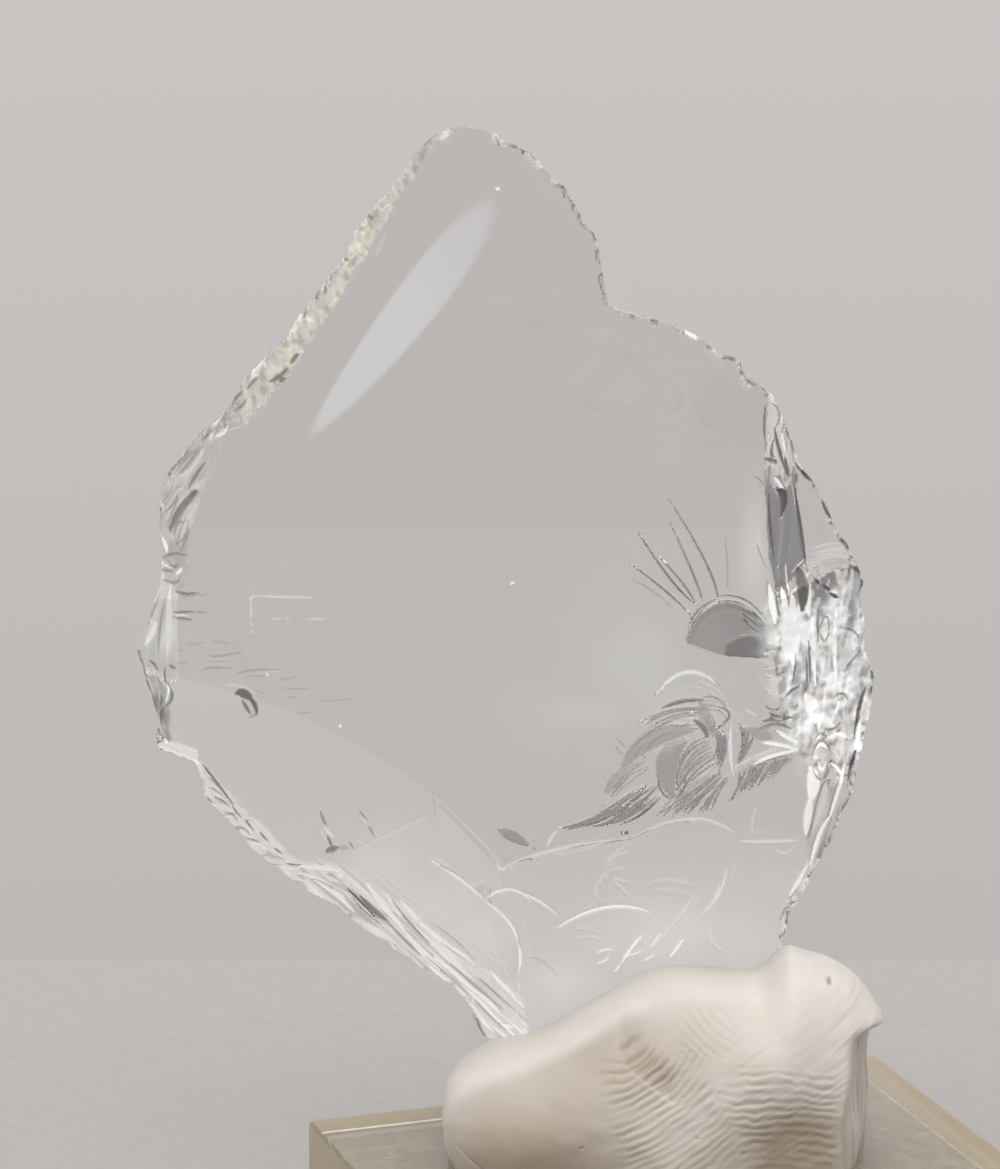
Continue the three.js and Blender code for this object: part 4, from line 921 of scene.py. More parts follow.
def face_block(name, depth_at, wanted, side):
    """The space behind a front sheet (side 1) or before a back sheet (side -1), with a fine face."""
    bm = bmesh.new()
    counts = [round(2 * half / GRID_STEP) for half in GRID_HALF]
    bmesh.ops.create_grid(bm, x_segments=counts[0], y_segments=counts[1], size=1)
    bmesh.ops.scale(bm, verts=bm.verts, vec=(*GRID_HALF, 1))
    bmesh.ops.rotate(bm, verts=bm.verts, matrix=Matrix.Rotation(math.pi / 2, 3, "X"))
    bmesh.ops.translate(bm, verts=bm.verts, vec=(GRID_MIDDLE[0], 0, GRID_MIDDLE[1]))
    refine(bm, wanted)
    bmesh.ops.triangulate(bm, faces=bm.faces)
    sheet_verts, place = list(bm.verts), coords(bm)
    depth = depth_at(place[:, 0], place[:, 2])
    rim = [e for e in bm.edges if e.is_boundary]
    made = bmesh.ops.extrude_edge_only(bm, edges=rim)["geom"]
    for vert in (g for g in made if isinstance(g, bmesh.types.BMVert)):
        vert.co.y = side * FAR
    for vert, y in zip(sheet_verts, depth):
        vert.co.y = y
    bmesh.ops.holes_fill(bm, edges=[e for e in bm.edges if e.is_boundary], sides=0)
    bmesh.ops.triangulate(bm, faces=bm.faces)
    bmesh.ops.recalc_face_normals(bm, faces=bm.faces)
    if bm.calc_volume(signed=True) < 0:
        bmesh.ops.reverse_faces(bm, faces=bm.faces)
    return mesh_object(name, bm)


def outline_block(name):
    """The outline, pulled out to a prism from front to back."""
    bm = bmesh.new()
    ring = [bm.verts.new((x, -FAR, z)) for x, z in EDGE]
    face = bm.faces.new(ring)
    made = bmesh.ops.extrude_face_region(bm, geom=[face])["geom"]
    moved = [g for g in made if isinstance(g, bmesh.types.BMVert)]
    bmesh.ops.translate(bm, verts=moved, vec=(0, 2 * FAR, 0))
    bmesh.ops.triangulate(bm, faces=bm.faces)
    bmesh.ops.recalc_face_normals(bm, faces=bm.faces)
    return mesh_object(name, bm)


def cut_level(bm, height, side):
    """Cuts a solid level, drops what lies below (side 1) or above (side -1) and closes the cut."""
    everything = [*bm.verts, *bm.edges, *bm.faces]
    cut = bmesh.ops.bisect_plane(
        bm, geom=everything, plane_co=(0, 0, height), plane_no=(0, 0, side), clear_inner=True
    )
    rim = [g for g in cut["geom_cut"] if isinstance(g, bmesh.types.BMEdge)]
    bmesh.ops.holes_fill(bm, edges=rim, sides=0)
    bmesh.ops.triangulate(bm, faces=bm.faces)


def combine(obj, tools, operation):
    """Applies one boolean after another to an object and removes the tools."""
    for tool in tools:
        cut = obj.modifiers.new(tool.name, "BOOLEAN")
        cut.operation = operation
        cut.solver = "MANIFOLD"
        cut.object = tool
    graph = bpy.context.evaluated_depsgraph_get()
    mesh = bpy.data.meshes.new_from_object(obj.evaluated_get(graph))
    obj.modifiers.clear()
    old, obj.data = obj.data, mesh
    bpy.data.meshes.remove(old)
    for tool in tools:
        bpy.data.objects.remove(tool)


def smooth_shading(obj, sharp_degrees):
    """Smooth faces, with edges kept crisp where they turn by more than sharp_degrees."""
    bm = bmesh.new()
    bm.from_mesh(obj.data)
    for face in bm.faces:
        face.smooth = True
    limit = math.radians(sharp_degrees)
    for edge in bm.edges:
        edge.smooth = edge.is_manifold and edge.calc_face_angle(0) < limit
    bm.to_mesh(obj.data)
    bm.free()


def tidy_solid(obj):
    """Drops loose crumbs and points every face outwards."""
    bm = bmesh.new()
    bm.from_mesh(obj.data)
    left = set(bm.verts)
    islands = []
    while left:
        grown, front = set(), [left.pop()]
        while front:
            vert = front.pop()
            grown.add(vert)
            near = [e.other_vert(vert) for e in vert.link_edges]
            front += [n for n in near if n in left]
            left.difference_update(near)
        islands.append(grown)
    islands.sort(key=len)
    bmesh.ops.delete(bm, geom=[v for crumb in islands[:-1] for v in crumb], context="VERTS")
    if bm.calc_volume(signed=True) < 0:
        bmesh.ops.reverse_faces(bm, faces=bm.faces)
    bm.to_mesh(obj.data)
    bm.free()


def put_in_row(obj, material):
    """Carries a piece from the flake's frame in millimetres to the row's in metres, with its material."""
    obj.data.transform(TO_ROW)
    obj.data.materials.clear()
    obj.data.materials.append(material)


# ------------------------------------------------------------------ shader maths

class Value:
    """A socket, or a number, on which the usual operators add Math nodes."""

    def __init__(self, shader, source):
        self.shader, self.source = shader, source

    def _math(self, operation, *others, clamp=False):
        settings = {"operation": operation, "use_clamp": clamp}
        return self.shader.node("ShaderNodeMath", settings, [self, *others]).out(0)

    def __add__(self, other):
        return self._math("ADD", other)

    def __sub__(self, other):
        return self._math("SUBTRACT", other)

    def __mul__(self, other):
        return self._math("MULTIPLY", other)

    def __truediv__(self, other):
        return self._math("DIVIDE", other)

    def __rsub__(self, other):
        return self.shader.value(other) - self

    def __rtruediv__(self, other):
        return self.shader.value(other) / self

    def __neg__(self):
        return self * -1

    def __abs__(self):
        return self._math("ABSOLUTE")

    def __pow__(self, power):
        return self._math("POWER", power)

    __radd__ = __add__
    __rmul__ = __mul__

    def clamp(self):
        return self._math("ADD", 0.0, clamp=True)

    def larger(self, other):
        return self._math("MAXIMUM", other)

    def step(self, low, high):
        """A soft step from 0 at low to 1 at high."""
        settings, ends = {"interpolation_type": "SMOOTHSTEP"}, {"From Min": low, "From Max": high}
        return self.shader.node("ShaderNodeMapRange", settings, {"Value": self, **ends}).out("Result")


class Node:
    """A shader node whose outputs come back as Values."""

    def __init__(self, shader, made):
        self.shader, self.made = shader, made

    def out(self, key):
        return Value(self.shader, self.made.outputs[key])


class Shader:
    """A material or world under construction."""

    def __init__(self, owner):
        owner.use_nodes = True
        self.tree = owner.node_tree
        self.tree.nodes.clear()

    def node(self, kind, settings=None, values=None):
        """A node of one kind, with its settings and then the values or links of its sockets."""
        made = self.tree.nodes.new(kind)
        for key, setting in (settings or {}).items():
            setattr(made, key, setting)
        pairs = enumerate(values) if isinstance(values, list) else (values or {}).items()
        for key, given in pairs:
            if isinstance(given, Value):
                self.tree.links.new(given.source, made.inputs[key])
            else:
                made.inputs[key].default_value = given
        return Node(self, made)

    def value(self, number):
        """A number that stands left of an operator."""
        made = self.node("ShaderNodeValue")
        made.made.outputs[0].default_value = number
        return made.out(0)

    def mix(self, factor, *colours):
        """The first colour where the factor is 0, and the second where it is 1."""
        first, second = (given if isinstance(given, Value) else (*given, 1) for given in colours)
        return self.node("ShaderNodeMix", {"data_type": "RGBA"}, {0: factor, 6: first, 7: second}).out(2)

    def attribute(self, name):
        """What a piece's mesh stores at each vertex."""
        return self.node("ShaderNodeAttribute", {"attribute_name": name}).out("Fac")

    def local(self):
        """Object coordinates turned into the flake's frame, in millimetres."""
        turned = {
            "Vector": self.node("ShaderNodeTexCoord").out("Object"),
            "Location": (FLAKE_X * MM, FLAKE_Y * MM, BLOCK_TOP * MM),
            "Rotation": (0, 0, FLAKE_TURN),
            "Scale": (MM, MM, MM),
        }
        return self.node("ShaderNodeMapping", {"vector_type": "TEXTURE"}, turned).out(0)

    def speckle(self, vector, scale, detail, roughness=0.5):
        """Soft random speckles, about 1 / scale apart."""
        values = {"Vector": vector, "Scale": scale, "Detail": detail, "Roughness": roughness}
        return self.node("ShaderNodeTexNoise", {"noise_dimensions": "3D"}, values).out("Fac")

    def bump(self, height, distance, strength):
        """Fine roughness that only the light shows."""
        values = {"Height": height, "Distance": distance, "Strength": strength}
        return self.node("ShaderNodeBump", None, values).out("Normal")

    def principled(self, values):
        """A plain glossy, matt or glassy surface."""
        return self.node("ShaderNodeBsdfPrincipled", None, values)

    def blend(self, factor, first, second):
        """One surface where the factor is 0 and another where it is 1."""
        return self.node("ShaderNodeMixShader", None, [factor, first.out(0), second.out(0)])

    def clear_body(self, surface, sizes):
        """Ends a see-through material with its surface and the colour that its body takes with depth."""
        body = {"Color": (*sizes.absorb, 1), "Density": sizes.density}
        volume = self.node("ShaderNodeVolumeAbsorption", None, body)
        self.node("ShaderNodeOutputMaterial", None, {"Surface": surface.out(0), "Volume": volume.out(0)})


def new_material(name):
    """An empty material, and the shader that fills it."""
    material = bpy.data.materials.new(name)
    return material, Shader(material)


# ------------------------------------------------------------------ materials

def crystal_material(sizes):
    """Clear glass, white where it is crushed and where highlights are painted, and painted dark where cracks
    turn light away.
    """
    material, shader = new_material("clear crystal")
    # the crushed mark holds crushed glass and painted highlights
    crushed = shader.attribute("crushed")
    grain = shader.speckle(shader.local(), 4.0, detail=4, roughness=0.7)
    white_share = (crushed * (0.7 + grain * (crushed.step(0.5, 0.8) * 0.7))).clamp()
    glass = shader.principled({
        "Base Color": (*sizes.tint, 1),
        "Roughness": crushed * 0.35,
        "IOR": sizes.ior,
        "Transmission Weight": 1.0,
    })
    cream = shader.mix(shader.attribute("cream"), sizes.crushed, sizes.cream)
    # the white part glows faintly: painted light for the brightness of the crushed glass and the painted
    # highlights
    white = shader.principled({
        "Base Color": cream,
        "Roughness": 0.4,
        "IOR": sizes.ior,
        "Emission Color": cream,
        "Emission Strength": 0.3,
    })
    # painted shade: a dark gloss laid where cracks and facets turn the light away
    crack_shade = shader.principled({"Base Color": (*sizes.crack_shade, 1), "Roughness": 0.3, "IOR": sizes.ior})
    surface = shader.blend(white_share, glass, white)
    surface = shader.blend(shader.attribute("dark"), surface, crack_shade)
    shader.clear_body(surface, sizes)
    return material


def putty_material(sizes):
    """Matt cream putty, faintly mottled, with painted shade and dark specks from the mesh."""
    material, shader = new_material("cream putty")
    place = shader.local()
    mottle = shader.speckle(place, 0.35, detail=4)
    pores = shader.speckle(place, 9.0, detail=3)
    colour = shader.mix(mottle.step(0.35, 0.7), sizes.colour, sizes.shade)
    # painted shade and dark specks, stored on the mesh
    colour = shader.mix(shader.attribute("painted_shade_and_specks"), colour, sizes.painted_shade_and_specks)
    pitted = shader.bump(pores, distance=0.02 * MM, strength=0.5)
    clay = shader.principled({"Base Color": colour, "Roughness": 0.62 + pores * 0.2, "Normal": pitted})
    shader.node("ShaderNodeOutputMaterial", None, {"Surface": clay.out(0)})
    return material


def acrylic_material(sizes):
    """Slightly yellowed clear acrylic with worn sides, a golden band with painted glow along two of them,
    and a foot of dust and painted sheen.
    """
    material, shader = new_material("yellowed acrylic")
    haze = shader.speckle(shader.local(), 0.8, detail=5)
    metres = shader.node("ShaderNodeTexCoord").out("Object")
    parts = shader.node("ShaderNodeSeparateXYZ", None, [metres])
    across, deep, up = (parts.out(i) / MM for i in range(3))
    side = abs(across).larger(abs(deep))
    half = (BLOCK_HIGH.x - BLOCK_LOW.x) / MM / 2
    inner = half - BLOCK_BAND
    skin = side.step(half - 0.1, half - 0.02)
    far = across.larger(deep)
    band = far.step(inner, inner + 0.2) * (1 - skin)
    # a painted highlight: a pale line on the top face along the band's inner edge
    line = far.step(inner - 0.25, inner - 0.1) * (1 - far.step(inner, inner + 0.15))
    line = line * up.step(BLOCK_TOP - 0.1, BLOCK_TOP - 0.01) * (0.25 + deep.step(half - 4, half - 3) * 0.75)
    # the pale foot: dust with a painted reflection of the light above
    foot = side.step(half - 0.5, half - 0.3) * (1 - up.step(0.3, 0.5))
    # the gold of the sides and band: the acrylic's own yellow with a painted glow of light running through
    # the block
    golden = skin.larger(band)
    clear = shader.principled({
        "Base Color": (1, 1, 1, 1),
        "Roughness": haze.step(0.3, 0.8) * 0.06 + skin * 0.12,
        "IOR": sizes.ior,
        "Transmission Weight": 1.0,
    })
    colour = shader.mix(golden, sizes.worn, sizes.rim)
    colour = shader.mix(foot.larger(line), colour, sizes.dust_and_sheen)
    # a matt surface in the worn, golden and pale colours, carrying the painted glow and sheen
    worn = shader.principled({"Base Color": colour, "Roughness": 0.5, "IOR": sizes.ior})
    dusty = 0.24 + haze.step(0.35, 0.75) * (1 - golden) * 0.14
    share = (dusty + skin * 0.22 + band * 0.16 + foot * 0.3 + line * 0.45).clamp()
    shader.clear_body(shader.blend(share, clear, worn), sizes)
    return material


def floor_material():
    """A matt, pale table top with a very fine grain."""
    material, shader = new_material("pale floor")
    place = shader.node("ShaderNodeTexCoord").out("Object")
    grain = shader.speckle(place, 900.0, detail=2)
    colour = shader.mix(grain, *FLOOR_COLOURS)
    matt = shader.principled({"Base Color": colour, "Roughness": 0.8})
    shader.node("ShaderNodeOutputMaterial", None, {"Surface": matt.out(0)})
    return material


# ------------------------------------------------------------------ pieces

def frosted_faces(x, z):
    """How crushed each of the rougher faces is, with painted highlights on the ledge and the strip."""
    grit = 0.3 + 0.2 * rough(x, z, 0.55, seed=71) + 0.14 * smooth(46.0, 48.5, z)
    pale = 0.42 + 0.2 * streaks(x, z, 1.3, 0.7, 4.0, seed=75)
    return {
        "left_bevel": grit * smooth(61.0, 56.5, z),
        "left_wall": 0.1 + 0.28 * smooth(0.1, 0.9, streaks(x, z, 1.0, 0.4, 1.8, seed=73)),
        "left_facet": pale * (0.5 + 0.5 * smooth(29.6, 31.0, z)),
        "left_hackle": 0.35 * smooth(0, 0.9, streaks(x, z, -1.0, 0.5, 1.6, seed=77)),
        # the ledge's white is a painted highlight of the lamp that it refracts
        "left_ledge": 0.62 + 0.36 * streaks(x, z, -0.4, 0.3, 2.0, seed=80),
        "notch": 0.22 + 0.3 * streaks(x, z, 0.35, 0.4, 1.4, seed=79),
        # the strip's white streaks are painted glints
        "shin": 0.3 + 0.45 * smooth(0.2, 0.9, streaks(x, z, -0.77, 0.5, 7.0, seed=81)),
        "step": 0.5 * smooth(0.1, 0.9, streaks(x, z, 1.47, 0.35, 3.0, seed=83)) * (z > 40.5),
    }


def dark_faces(x, z):
    """How dark the painted shade is in the lines between the frosted ones on three of the faces."""
    return {
        "left_bevel": 0.26 * smooth(0.25, 0.7, rough(x, z, 0.45, seed=72)),
        "left_hackle": 0.22 + 0.2 * streaks(x, z, -1.0, 0.4, 1.2, seed=78),
        "shin": 0.3 * smooth(0.4, 1.0, streaks(x, z, -0.8, 0.45, 6.0, seed=82)),
    }


def crushed_zone(x, z):
    """How crushed the scoop under the ear is, with flutes, swirls and veins in it."""
    top = 33.4 + 0.5 * noise(x / 0.35, 0 * z, 87) + 0.35 * np.maximum(x - 19.5, 0)
    left = np.interp(z, *zip(*CRUSH_LEFT)) + 0.35 * noise(z / 0.5, 0 * x, 89)
    zone = smooth(top + 0.4, top - 0.4, z) * smooth(left - 0.4, left + 0.3, x) * smooth(22.0, 23.8, z)
    flutes = streaks(x, z, 1.45, 0.45, 3.5, seed=85)
    swirl = rough(x, z, 0.9, seed=91)
    veins = 1 - 3 * np.abs(rough(x, z, 0.7, seed=92, octaves=2))
    whiter = sum(patch["white"] * patch_weight(patch, x, z) for patch in CRUSH_PATCHES)
    return zone * np.clip(0.47 + 0.16 * flutes + 0.2 * swirl + 0.16 * veins + whiter, 0, 1)


def crystal_marks(obj):
    """Stores how crushed (crushed glass and painted highlights), creamy and dark (painted shade) the glass
    is at each vertex, worked out in the flake's frame.
    """
    mesh = obj.data
    place = np.empty(len(mesh.vertices) * 3)
    mesh.vertices.foreach_get("co", place)
    x, y, z = place.reshape(-1, 3).T
    face, _ = front_faces(x, z)
    on_front = y < (front_depth(x, z) + back_depth(x, z)) / 2
    edge = edge_distance(x, z)

    crushed = crushed_zone(x, z)
    for name, frost in frosted_faces(x, z).items():
        crushed = np.where(face == name, np.maximum(crushed, frost), crushed)
    crumbs = smooth(0.5, 0.1, edge) * smooth(0.25, 0.6, rough(x, z, 0.8, seed=93))
    crumbs *= 0.7 - 0.25 * smooth(55.0, 58.0, z)
    crushed = np.where(on_front, np.maximum(crushed, crumbs), crumbs)
    for patch in HAZE:
        haze = patch["white"] * patch_weight(patch, x, z) * (0.9 + 0.15 * noise(x / 1.5, z / 1.5, 97))
        crushed = np.maximum(crushed, np.where(on_front != patch["back"], haze, 0))

    # the strokes' white is painted highlight and their dark painted shade
    _, front_dark, front_white, _ = drawn(FRONT_LINES, x, z)
    _, back_dark, back_white, _ = drawn(BACK_LINES, x, z)
    for name, ground in dark_faces(x, z).items():
        front_dark = np.maximum(front_dark, ground * (face == name) * (1 - front_white))
    # painted shade in the lens, ringed and darkest in its corner
    bowl, radius, corner = lens(x, z)
    rings = 0.5 + 0.5 * np.sin(radius * 30)
    across, _ = across_patch(LENS, x, z)
    lens_dark = bowl * (0.5 + 0.12 * smooth(0.55, 0.95, radius) * rings + 0.08 * across)
    lens_dark = np.maximum(lens_dark, 0.78 * corner)
    back_dark = np.maximum(back_dark * (0.82 + 0.08 * smooth(28.0, 29.0, z)), 0.9 * lens_dark)
    # painted dark dashes along the outline, where the edge turns light away
    dashes = smooth(0.3, 0.05, edge) * smooth(0.45, 0.8, rough(x + 9, z, 0.9, seed=95)) * (1 - crumbs)
    dashes *= 1 - 0.8 * smooth(14.0, 16.0, x) * smooth(18.0, 16.5, z)
    dark = np.maximum(np.where(on_front, front_dark, back_dark), 0.75 * dashes)
    crushed = np.maximum(crushed, np.where(on_front, front_white, back_white)) * (1 - dark)
    cream = np.where(on_front, smooth(42.0, 46.0, z) * smooth(-2.0, -6.0, x), 0)
    cream = np.maximum.reduce([cream, 0.3 * (face == "left_wall"), 0.12 * (face == "left_facet")])
    for name, values in (("crushed", crushed), ("dark", dark), ("cream", cream)):
        mark = mesh.attributes.new(name, "FLOAT", "POINT")
        mark.data.foreach_set("value", np.clip(values, 0, 1))


def front_detail(x, z, level):
    """Where the front needs a finer grid."""
    on_stroke = drawn(FRONT_LINES, x, z)[3] < NEAR_STROKE[level]
    if level >= len(NEAR_RIDGE):
        return on_stroke
    face, ridge = front_faces(x, z)
    busy = ~np.isin(face, SMOOTH_FACES) & (z < TOP)
    return busy | (ridge < NEAR_RIDGE[level]) | (edge_distance(x, z) < NEAR_EDGE[level]) | on_stroke


def back_detail(x, z, level):
    """Where the back needs a finer grid."""
    on_stroke = drawn(BACK_LINES, x, z)[3] < NEAR_STROKE[level]
    on_lens = (lens(x, z)[1] < 1.2) & (z > LENS["at"][1] - 0.7)
    if level == 0:      # soft haze needs no finer grid than this
        on_lens |= sum(patch_weight(patch, x, z) for patch in HAZE if patch["back"]) > 0.1
    return on_stroke | on_lens | (edge_distance(x, z) < NEAR_EDGE[level])


class ANDARA_OT_crystal(bpy.types.Operator):
    """Break the clear flake out of its outline and fracture faces"""

    bl_idname = "andara.crystal"
    bl_label = "Crystal"

    def execute(self, context):
        flake = face_block("crystal_flake", front_depth, front_detail, side=1)
        back = face_block("back_space", back_depth, back_detail, side=-1)
        combine(flake, [back, outline_block("edge_space")], "INTERSECT")
        tidy_solid(flake)
        crystal_marks(flake)
        smooth_shading(flake, sharp_degrees=32)
        put_in_row(flake, crystal_material(context.scene.andara_crystal))
        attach(flake, "root")
        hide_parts("crystal")
        return {"FINISHED"}


def putty_lump():
    """The putty's lump before the flake is pressed into it."""
    bm = bmesh.new()
    bmesh.ops.create_icosphere(bm, subdivisions=7, radius=1)
    x, y, z = putty_skin(coords(bm)).T
    fine = (y < -4) & (z > -0.5) & (x > -3)     # its front, which carries the skin ridges
    edges = [e for e in bm.edges if fine[e.verts[0].index] and fine[e.verts[1].index]]
    bmesh.ops.subdivide_edges(bm, edges=edges, cuts=1, use_grid_fill=True)
    bmesh.ops.triangulate(bm, faces=bm.faces)
    unit = coords(bm)
    skin = putty_skin(unit / np.linalg.norm(unit, axis=1)[:, None])
    for vert, place in zip(bm.verts, skin):
        vert.co = place
    bm.normal_update()
    height, shade = putty_relief(*skin.T)
    # each point's painted shade and dark specks
    mark = bm.verts.layers.float.new("painted_shade_and_specks")
    for vert, up, dark in zip(bm.verts, height, shade):
        vert.co += vert.normal * up
        vert[mark] = dark
    cut_level(bm, height=0, side=1)
    bmesh.ops.recalc_face_normals(bm, faces=bm.faces)
    return mesh_object("putty_lump", bm)


def pressed_foot(flake):
    """The lower end of the flake, very slightly shrunk, to press into the putty."""
    bm = bmesh.new()
    bm.from_mesh(flake.data)
    bm.transform(TO_ROW.inverted())
    bm.normal_update()
    for vert in bm.verts:
        vert.co -= vert.normal * FOOT_SHRINK
    cut_level(bm, height=FOOT_TOP, side=-1)
    return mesh_object("pressed_foot", bm)


class ANDARA_OT_putty(bpy.types.Operator):
    """Press the lump of putty round the flake's foot"""

    bl_idname = "andara.putty"
    bl_label = "Putty"

    def execute(self, context):
        lump = putty_lump()
        combine(lump, [pressed_foot(bpy.data.objects["crystal_flake"])], "DIFFERENCE")
        tidy_solid(lump)
        smooth_shading(lump, sharp_degrees=50)
        put_in_row(lump, putty_material(context.scene.andara_putty))
        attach(lump, "root")
        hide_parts("putty")
        return {"FINISHED"}


class ANDARA_OT_block(bpy.types.Operator):
    """Make the small clear block that everything stands on"""

    bl_idname = "andara.block"
    bl_label = "Block"

    def execute(self, context):
        low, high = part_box("acrylic_block")
        bm = bmesh.new()
        bmesh.ops.create_cube(bm, size=1)
        bmesh.ops.scale(bm, verts=bm.verts, vec=high - low)
        bmesh.ops.translate(bm, verts=bm.verts, vec=(high + low) / 2)
        bmesh.ops.bevel(
            bm, geom=bm.edges, offset=BLOCK_BEVEL * MM, affect="EDGES", segments=4, profile=0.5, material=-1
        )
        slab = mesh_object("acrylic_slab", bm)
        smooth_shading(slab, sharp_degrees=40)
        slab.data.materials.append(acrylic_material(context.scene.andara_block))
        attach(slab, "root")
        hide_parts("acrylic_block")
        return {"FINISHED"}


# ------------------------------------------------------------------ stage

PITCH = math.radians(12.7)      # the camera looks down by this much, square to the broad face
TURN = FLAKE_TURN
AIM = Vector((FLAKE_X, FLAKE_Y, 39.2)) * MM     # the point in the middle of its view
DISTANCE = 255 * MM
FOCAL, SENSOR = 132.4, 36
FLOOR_SIZE = (1.4, 0.9, 0.02)
FLOOR_BEHIND = 51 * MM          # the table's far edge lies this far behind the flake
FLOOR_GAP = 0.05 * MM           # left between the table top and the block
FLOOR_COLOURS = (0.36, 0.352, 0.345), (0.41, 0.402, 0.395)
LAMP_AT, LAMP_LONG = (-0.063, 0.0955), 0.11     # where the slanting lamp starts, and how long it is
LIGHT_COLOURS = (1.0, 0.965, 0.945), (0.96, 0.96, 1.0)      # of the room and of the lamp


def camera_axes():
    """Right, up and back of the camera, in the row's frame."""
    right = Vector((math.cos(TURN), math.sin(TURN), 0))
    away = Vector((-math.sin(TURN), math.cos(TURN), 0))
    back = -away * math.cos(PITCH) + Vector((0, 0, math.sin(PITCH)))
    return right, back.cross(right), back


def make_camera():
    """The camera, square to the flake's broad face and a little above it."""
    data = bpy.data.cameras.new("camera")
    data.lens, data.sensor_width = FOCAL, SENSOR
    data.clip_start, data.clip_end = 0.01, 10
    camera = bpy.data.objects.new("camera", data)
    right, up, back = camera_axes()
    camera.matrix_world = Matrix((right, up, back)).transposed().to_4x4()
    camera.location = AIM + back * DISTANCE
    bpy.context.scene.collection.objects.link(camera)
    bpy.context.scene.camera = camera


def make_floor():
    """A pale table top whose far edge lies a little behind the crystal."""
    _, long, thick = FLOOR_SIZE
    bm = bmesh.new()
    bmesh.ops.create_cube(bm, size=1)
    bmesh.ops.scale(bm, verts=bm.verts, vec=FLOOR_SIZE)
    bmesh.ops.translate(bm, verts=bm.verts, vec=(0, FLOOR_BEHIND - long / 2, -thick / 2 - FLOOR_GAP))
    bmesh.ops.rotate(bm, verts=bm.verts, matrix=Matrix.Rotation(TURN, 3, "Z"))
    bmesh.ops.translate(bm, verts=bm.verts, vec=(FLAKE_X * MM, FLAKE_Y * MM, 0))
    bmesh.ops.bevel(bm, geom=bm.edges, offset=1 * MM, affect="EDGES", segments=3, profile=0.5, material=-1)
    floor = mesh_object("floor", bm)
    floor.data.materials.append(floor_material())


def lamp_streak(side, away, up):
    """A long slanting lamp behind the camera, which the broad face mirrors as a pale streak."""
    across, rise = side - LAMP_AT[0], up - LAMP_AT[1]
    along, off = (across + rise) * math.sqrt(0.5), (rise - across) * math.sqrt(0.5)
    reach = (along / LAMP_LONG) ** 2 + (off / (along * 0.05 + 0.0175)) ** 2
    return (1 - reach.step(0.75, 1.2)) * (-away).step(0.5, 0.6) * (3.2 - along.step(-0.02, 0.11) * 1.1)


def make_world():
    """A soft studio: a pale wall ahead and to the right, a dim left side, a window and a bright ceiling."""
    world = bpy.data.worlds.new("studio")
    bpy.context.scene.world = world
    shader = Shader(world)
    direction = shader.node("ShaderNodeTexCoord").out("Generated")
    turned = shader.node(
        "ShaderNodeMapping", {"vector_type": "POINT"}, {"Vector": direction, "Rotation": (0, 0, -TURN)}
    ).out(0)
    parts = shader.node("ShaderNodeSeparateXYZ", None, [turned])
    side, away, up = (parts.out(i) for i in range(3))
    ahead = away.step(-0.05, 0.1)
    lit = side.step(-0.42, -0.24) * (1 - side.step(0.35, 0.85) * 0.35)
    wall = ahead * (1 - up.step(0.3, 0.5)) * (0.17 + lit * (0.29 + up.step(-0.26, 0.12) * 0.17))
    ceiling = up.step(0.55, 0.8) * 1.9
    window_side = (-side).step(0.5, 0.65) * (-away).step(0.0, 0.2)
    window = window_side * up.step(0.15, 0.3) * (1 - up.step(0.65, 0.8)) * 1.4
    room = (1 - ahead) * (0.14 + up.step(-0.1, 0.6) * 0.22)
    streak = lamp_streak(side, away, up)
    studio = 0.04 + wall + ceiling + window + room + streak
    seen = shader.node("ShaderNodeLightPath").out("Is Camera Ray")
    strength = studio * (1 - seen) + seen * (0.61 + up * 0.37)
    colour = shader.mix((streak * 0.5).clamp(), *LIGHT_COLOURS)
    light = shader.node("ShaderNodeBackground", None, {"Color": colour, "Strength": strength})
    shader.node("ShaderNodeOutputWorld", None, {"Surface": light.out(0)})


class ANDARA_OT_stage(bpy.types.Operator):
    """Set the camera, the table top and the soft light"""

    bl_idname = "andara.stage"
    bl_label = "Stage"

    def execute(self, context):
        make_camera()
        make_floor()
        make_world()
        scene = context.scene
        scene.view_settings.view_transform = "Standard"
        scene.cycles.max_bounces = 24
        scene.cycles.transmission_bounces = 24
        scene.cycles.glossy_bounces = 16
        return {"FINISHED"}


# ------------------------------------------------------------------ settings and panel

class ANDARA_PG_crystal(bpy.types.PropertyGroup):
    """Glass settings of the flake"""

    ior: FloatProperty(name="IOR", description="How strongly the glass bends light", default=1.5)
    density: FloatProperty(name="Absorption", description="Volume absorption per metre", default=4.0)
    tint: FloatVectorProperty(
        name="Tint", description="Surface tint of the glass", subtype="COLOR", default=(1.0, 1.0, 1.0)
    )
    absorb: FloatVectorProperty(
        name="Body colour", description="Colour that deep glass takes", subtype="COLOR",
        default=(0.93, 0.95, 0.95),
    )
    # white of the crushed glass and of the painted highlights, which also glows faintly as painted light
    crushed: FloatVectorProperty(
        name="Crushed", description="Colour of crushed glass", subtype="COLOR", default=(0.94, 0.95, 0.95)
    )
    cream: FloatVectorProperty(
        name="Cream", description="Colour of the frosted upper left edge", subtype="COLOR",
        default=(0.82, 0.80, 0.64),
    )
    # colour of the painted shade where cracks turn light away
    crack_shade: FloatVectorProperty(
        name="Cracks", description="Colour of the dark cracks", subtype="COLOR", default=(0.1, 0.095, 0.09)
    )


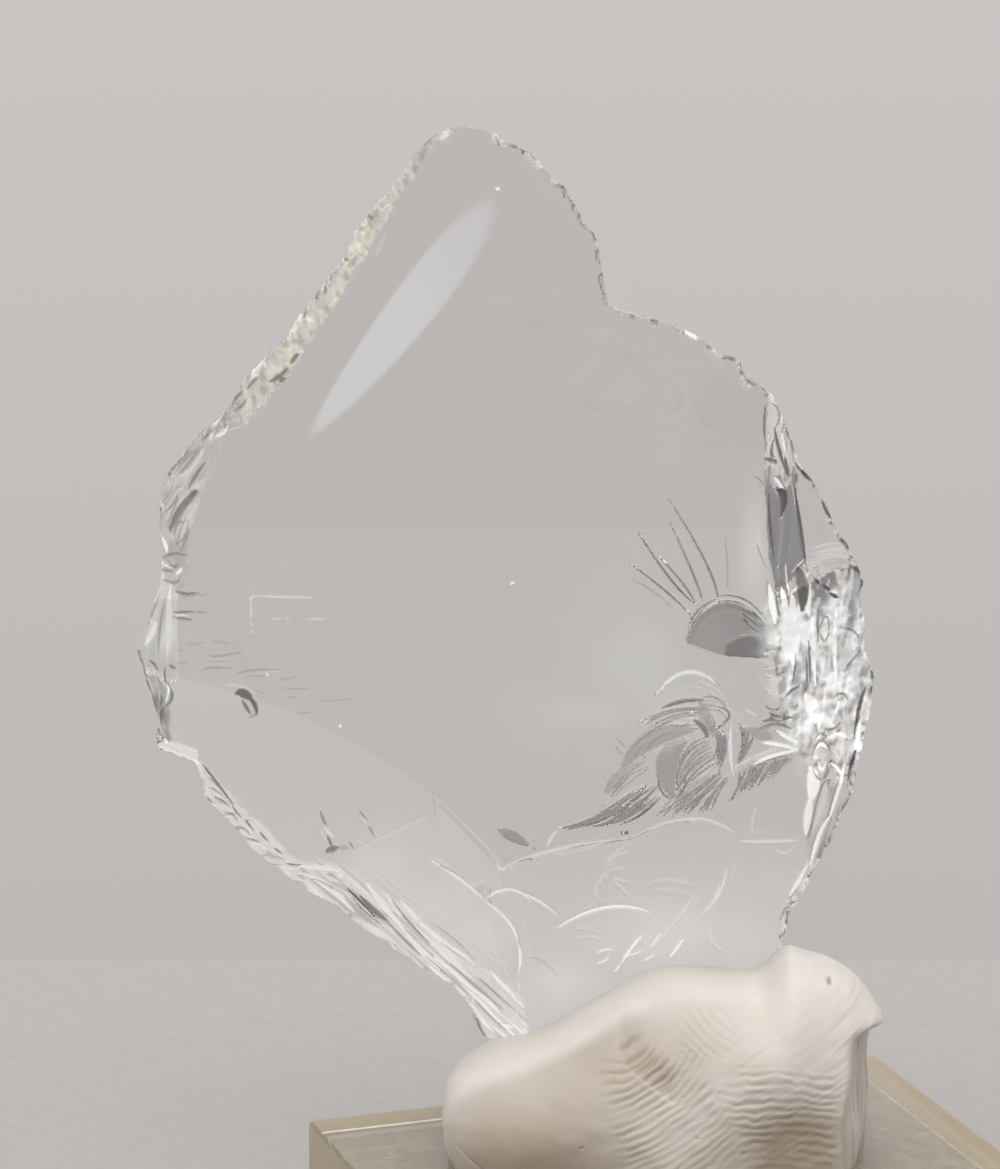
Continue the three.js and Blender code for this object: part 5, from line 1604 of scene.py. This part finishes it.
class ANDARA_PG_putty(bpy.types.PropertyGroup):
    """Colours of the putty"""

    colour: FloatVectorProperty(
        name="Colour", description="Putty colour", subtype="COLOR", default=(0.715, 0.695, 0.655)
    )
    shade: FloatVectorProperty(
        name="Mottle", description="Slightly darker patches", subtype="COLOR", default=(0.695, 0.665, 0.61)
    )
    # colour of the putty's painted shade and of its dark specks
    painted_shade_and_specks: FloatVectorProperty(
        name="Grooves", description="Colour low in the pressed lines", subtype="COLOR",
        default=(0.35, 0.29, 0.225),
    )


class ANDARA_PG_block(bpy.types.PropertyGroup):
    """Acrylic settings of the block"""

    ior: FloatProperty(name="IOR", description="How strongly the acrylic bends light", default=1.49)
    density: FloatProperty(name="Absorption", description="Volume absorption per metre", default=18.0)
    worn: FloatVectorProperty(
        name="Worn", description="Colour of its fine scratches", subtype="COLOR", default=(0.64, 0.57, 0.45)
    )
    # the golden colour of the sides and band, with a painted glow in it
    rim: FloatVectorProperty(
        name="Rim", description="Golden colour of its edges", subtype="COLOR", default=(0.64, 0.53, 0.35)
    )
    # the pale colour of the dusty foot with its painted reflection, and of the painted highlight line on top
    dust_and_sheen: FloatVectorProperty(
        name="Dust", description="Colour of its dusty foot", subtype="COLOR", default=(0.98, 0.95, 0.88)
    )
    absorb: FloatVectorProperty(
        name="Body colour", description="Colour that deep acrylic takes", subtype="COLOR",
        default=(0.86, 0.74, 0.42),
    )


class ANDARA_PT_panel(bpy.types.Panel):
    """Lists the pieces and their settings"""

    bl_idname = "ANDARA_PT_panel"
    bl_label = "Andara crystal"
    bl_space_type = "VIEW_3D"
    bl_region_type = "UI"
    bl_category = "Andara crystal"

    def draw(self, context):
        for group, operator in (
            ("andara_crystal", "andara.crystal"),
            ("andara_putty", "andara.putty"),
            ("andara_block", "andara.block"),
        ):
            settings = getattr(context.scene, group)
            for key in settings.__annotations__:
                self.layout.prop(settings, key)
            self.layout.operator(operator)
        self.layout.operator("andara.stage")


GROUPS = {
    "andara_crystal": ANDARA_PG_crystal,
    "andara_putty": ANDARA_PG_putty,
    "andara_block": ANDARA_PG_block,
}
CLASSES = (
    *GROUPS.values(),
    ANDARA_OT_crystal,
    ANDARA_OT_putty,
    ANDARA_OT_block,
    ANDARA_OT_stage,
    ANDARA_PT_panel,
)


def register():
    for cls in CLASSES:
        bpy.utils.register_class(cls)
    for name, group in GROUPS.items():
        setattr(bpy.types.Scene, name, PointerProperty(type=group))


def unregister():
    for name in GROUPS:
        delattr(bpy.types.Scene, name)
    for cls in reversed(CLASSES):
        bpy.utils.unregister_class(cls)


def main():
    register()
    bpy.ops.andara.stage()
    bpy.ops.andara.crystal()
    bpy.ops.andara.putty()
    bpy.ops.andara.block()


if __name__ == "__main__":
    main()
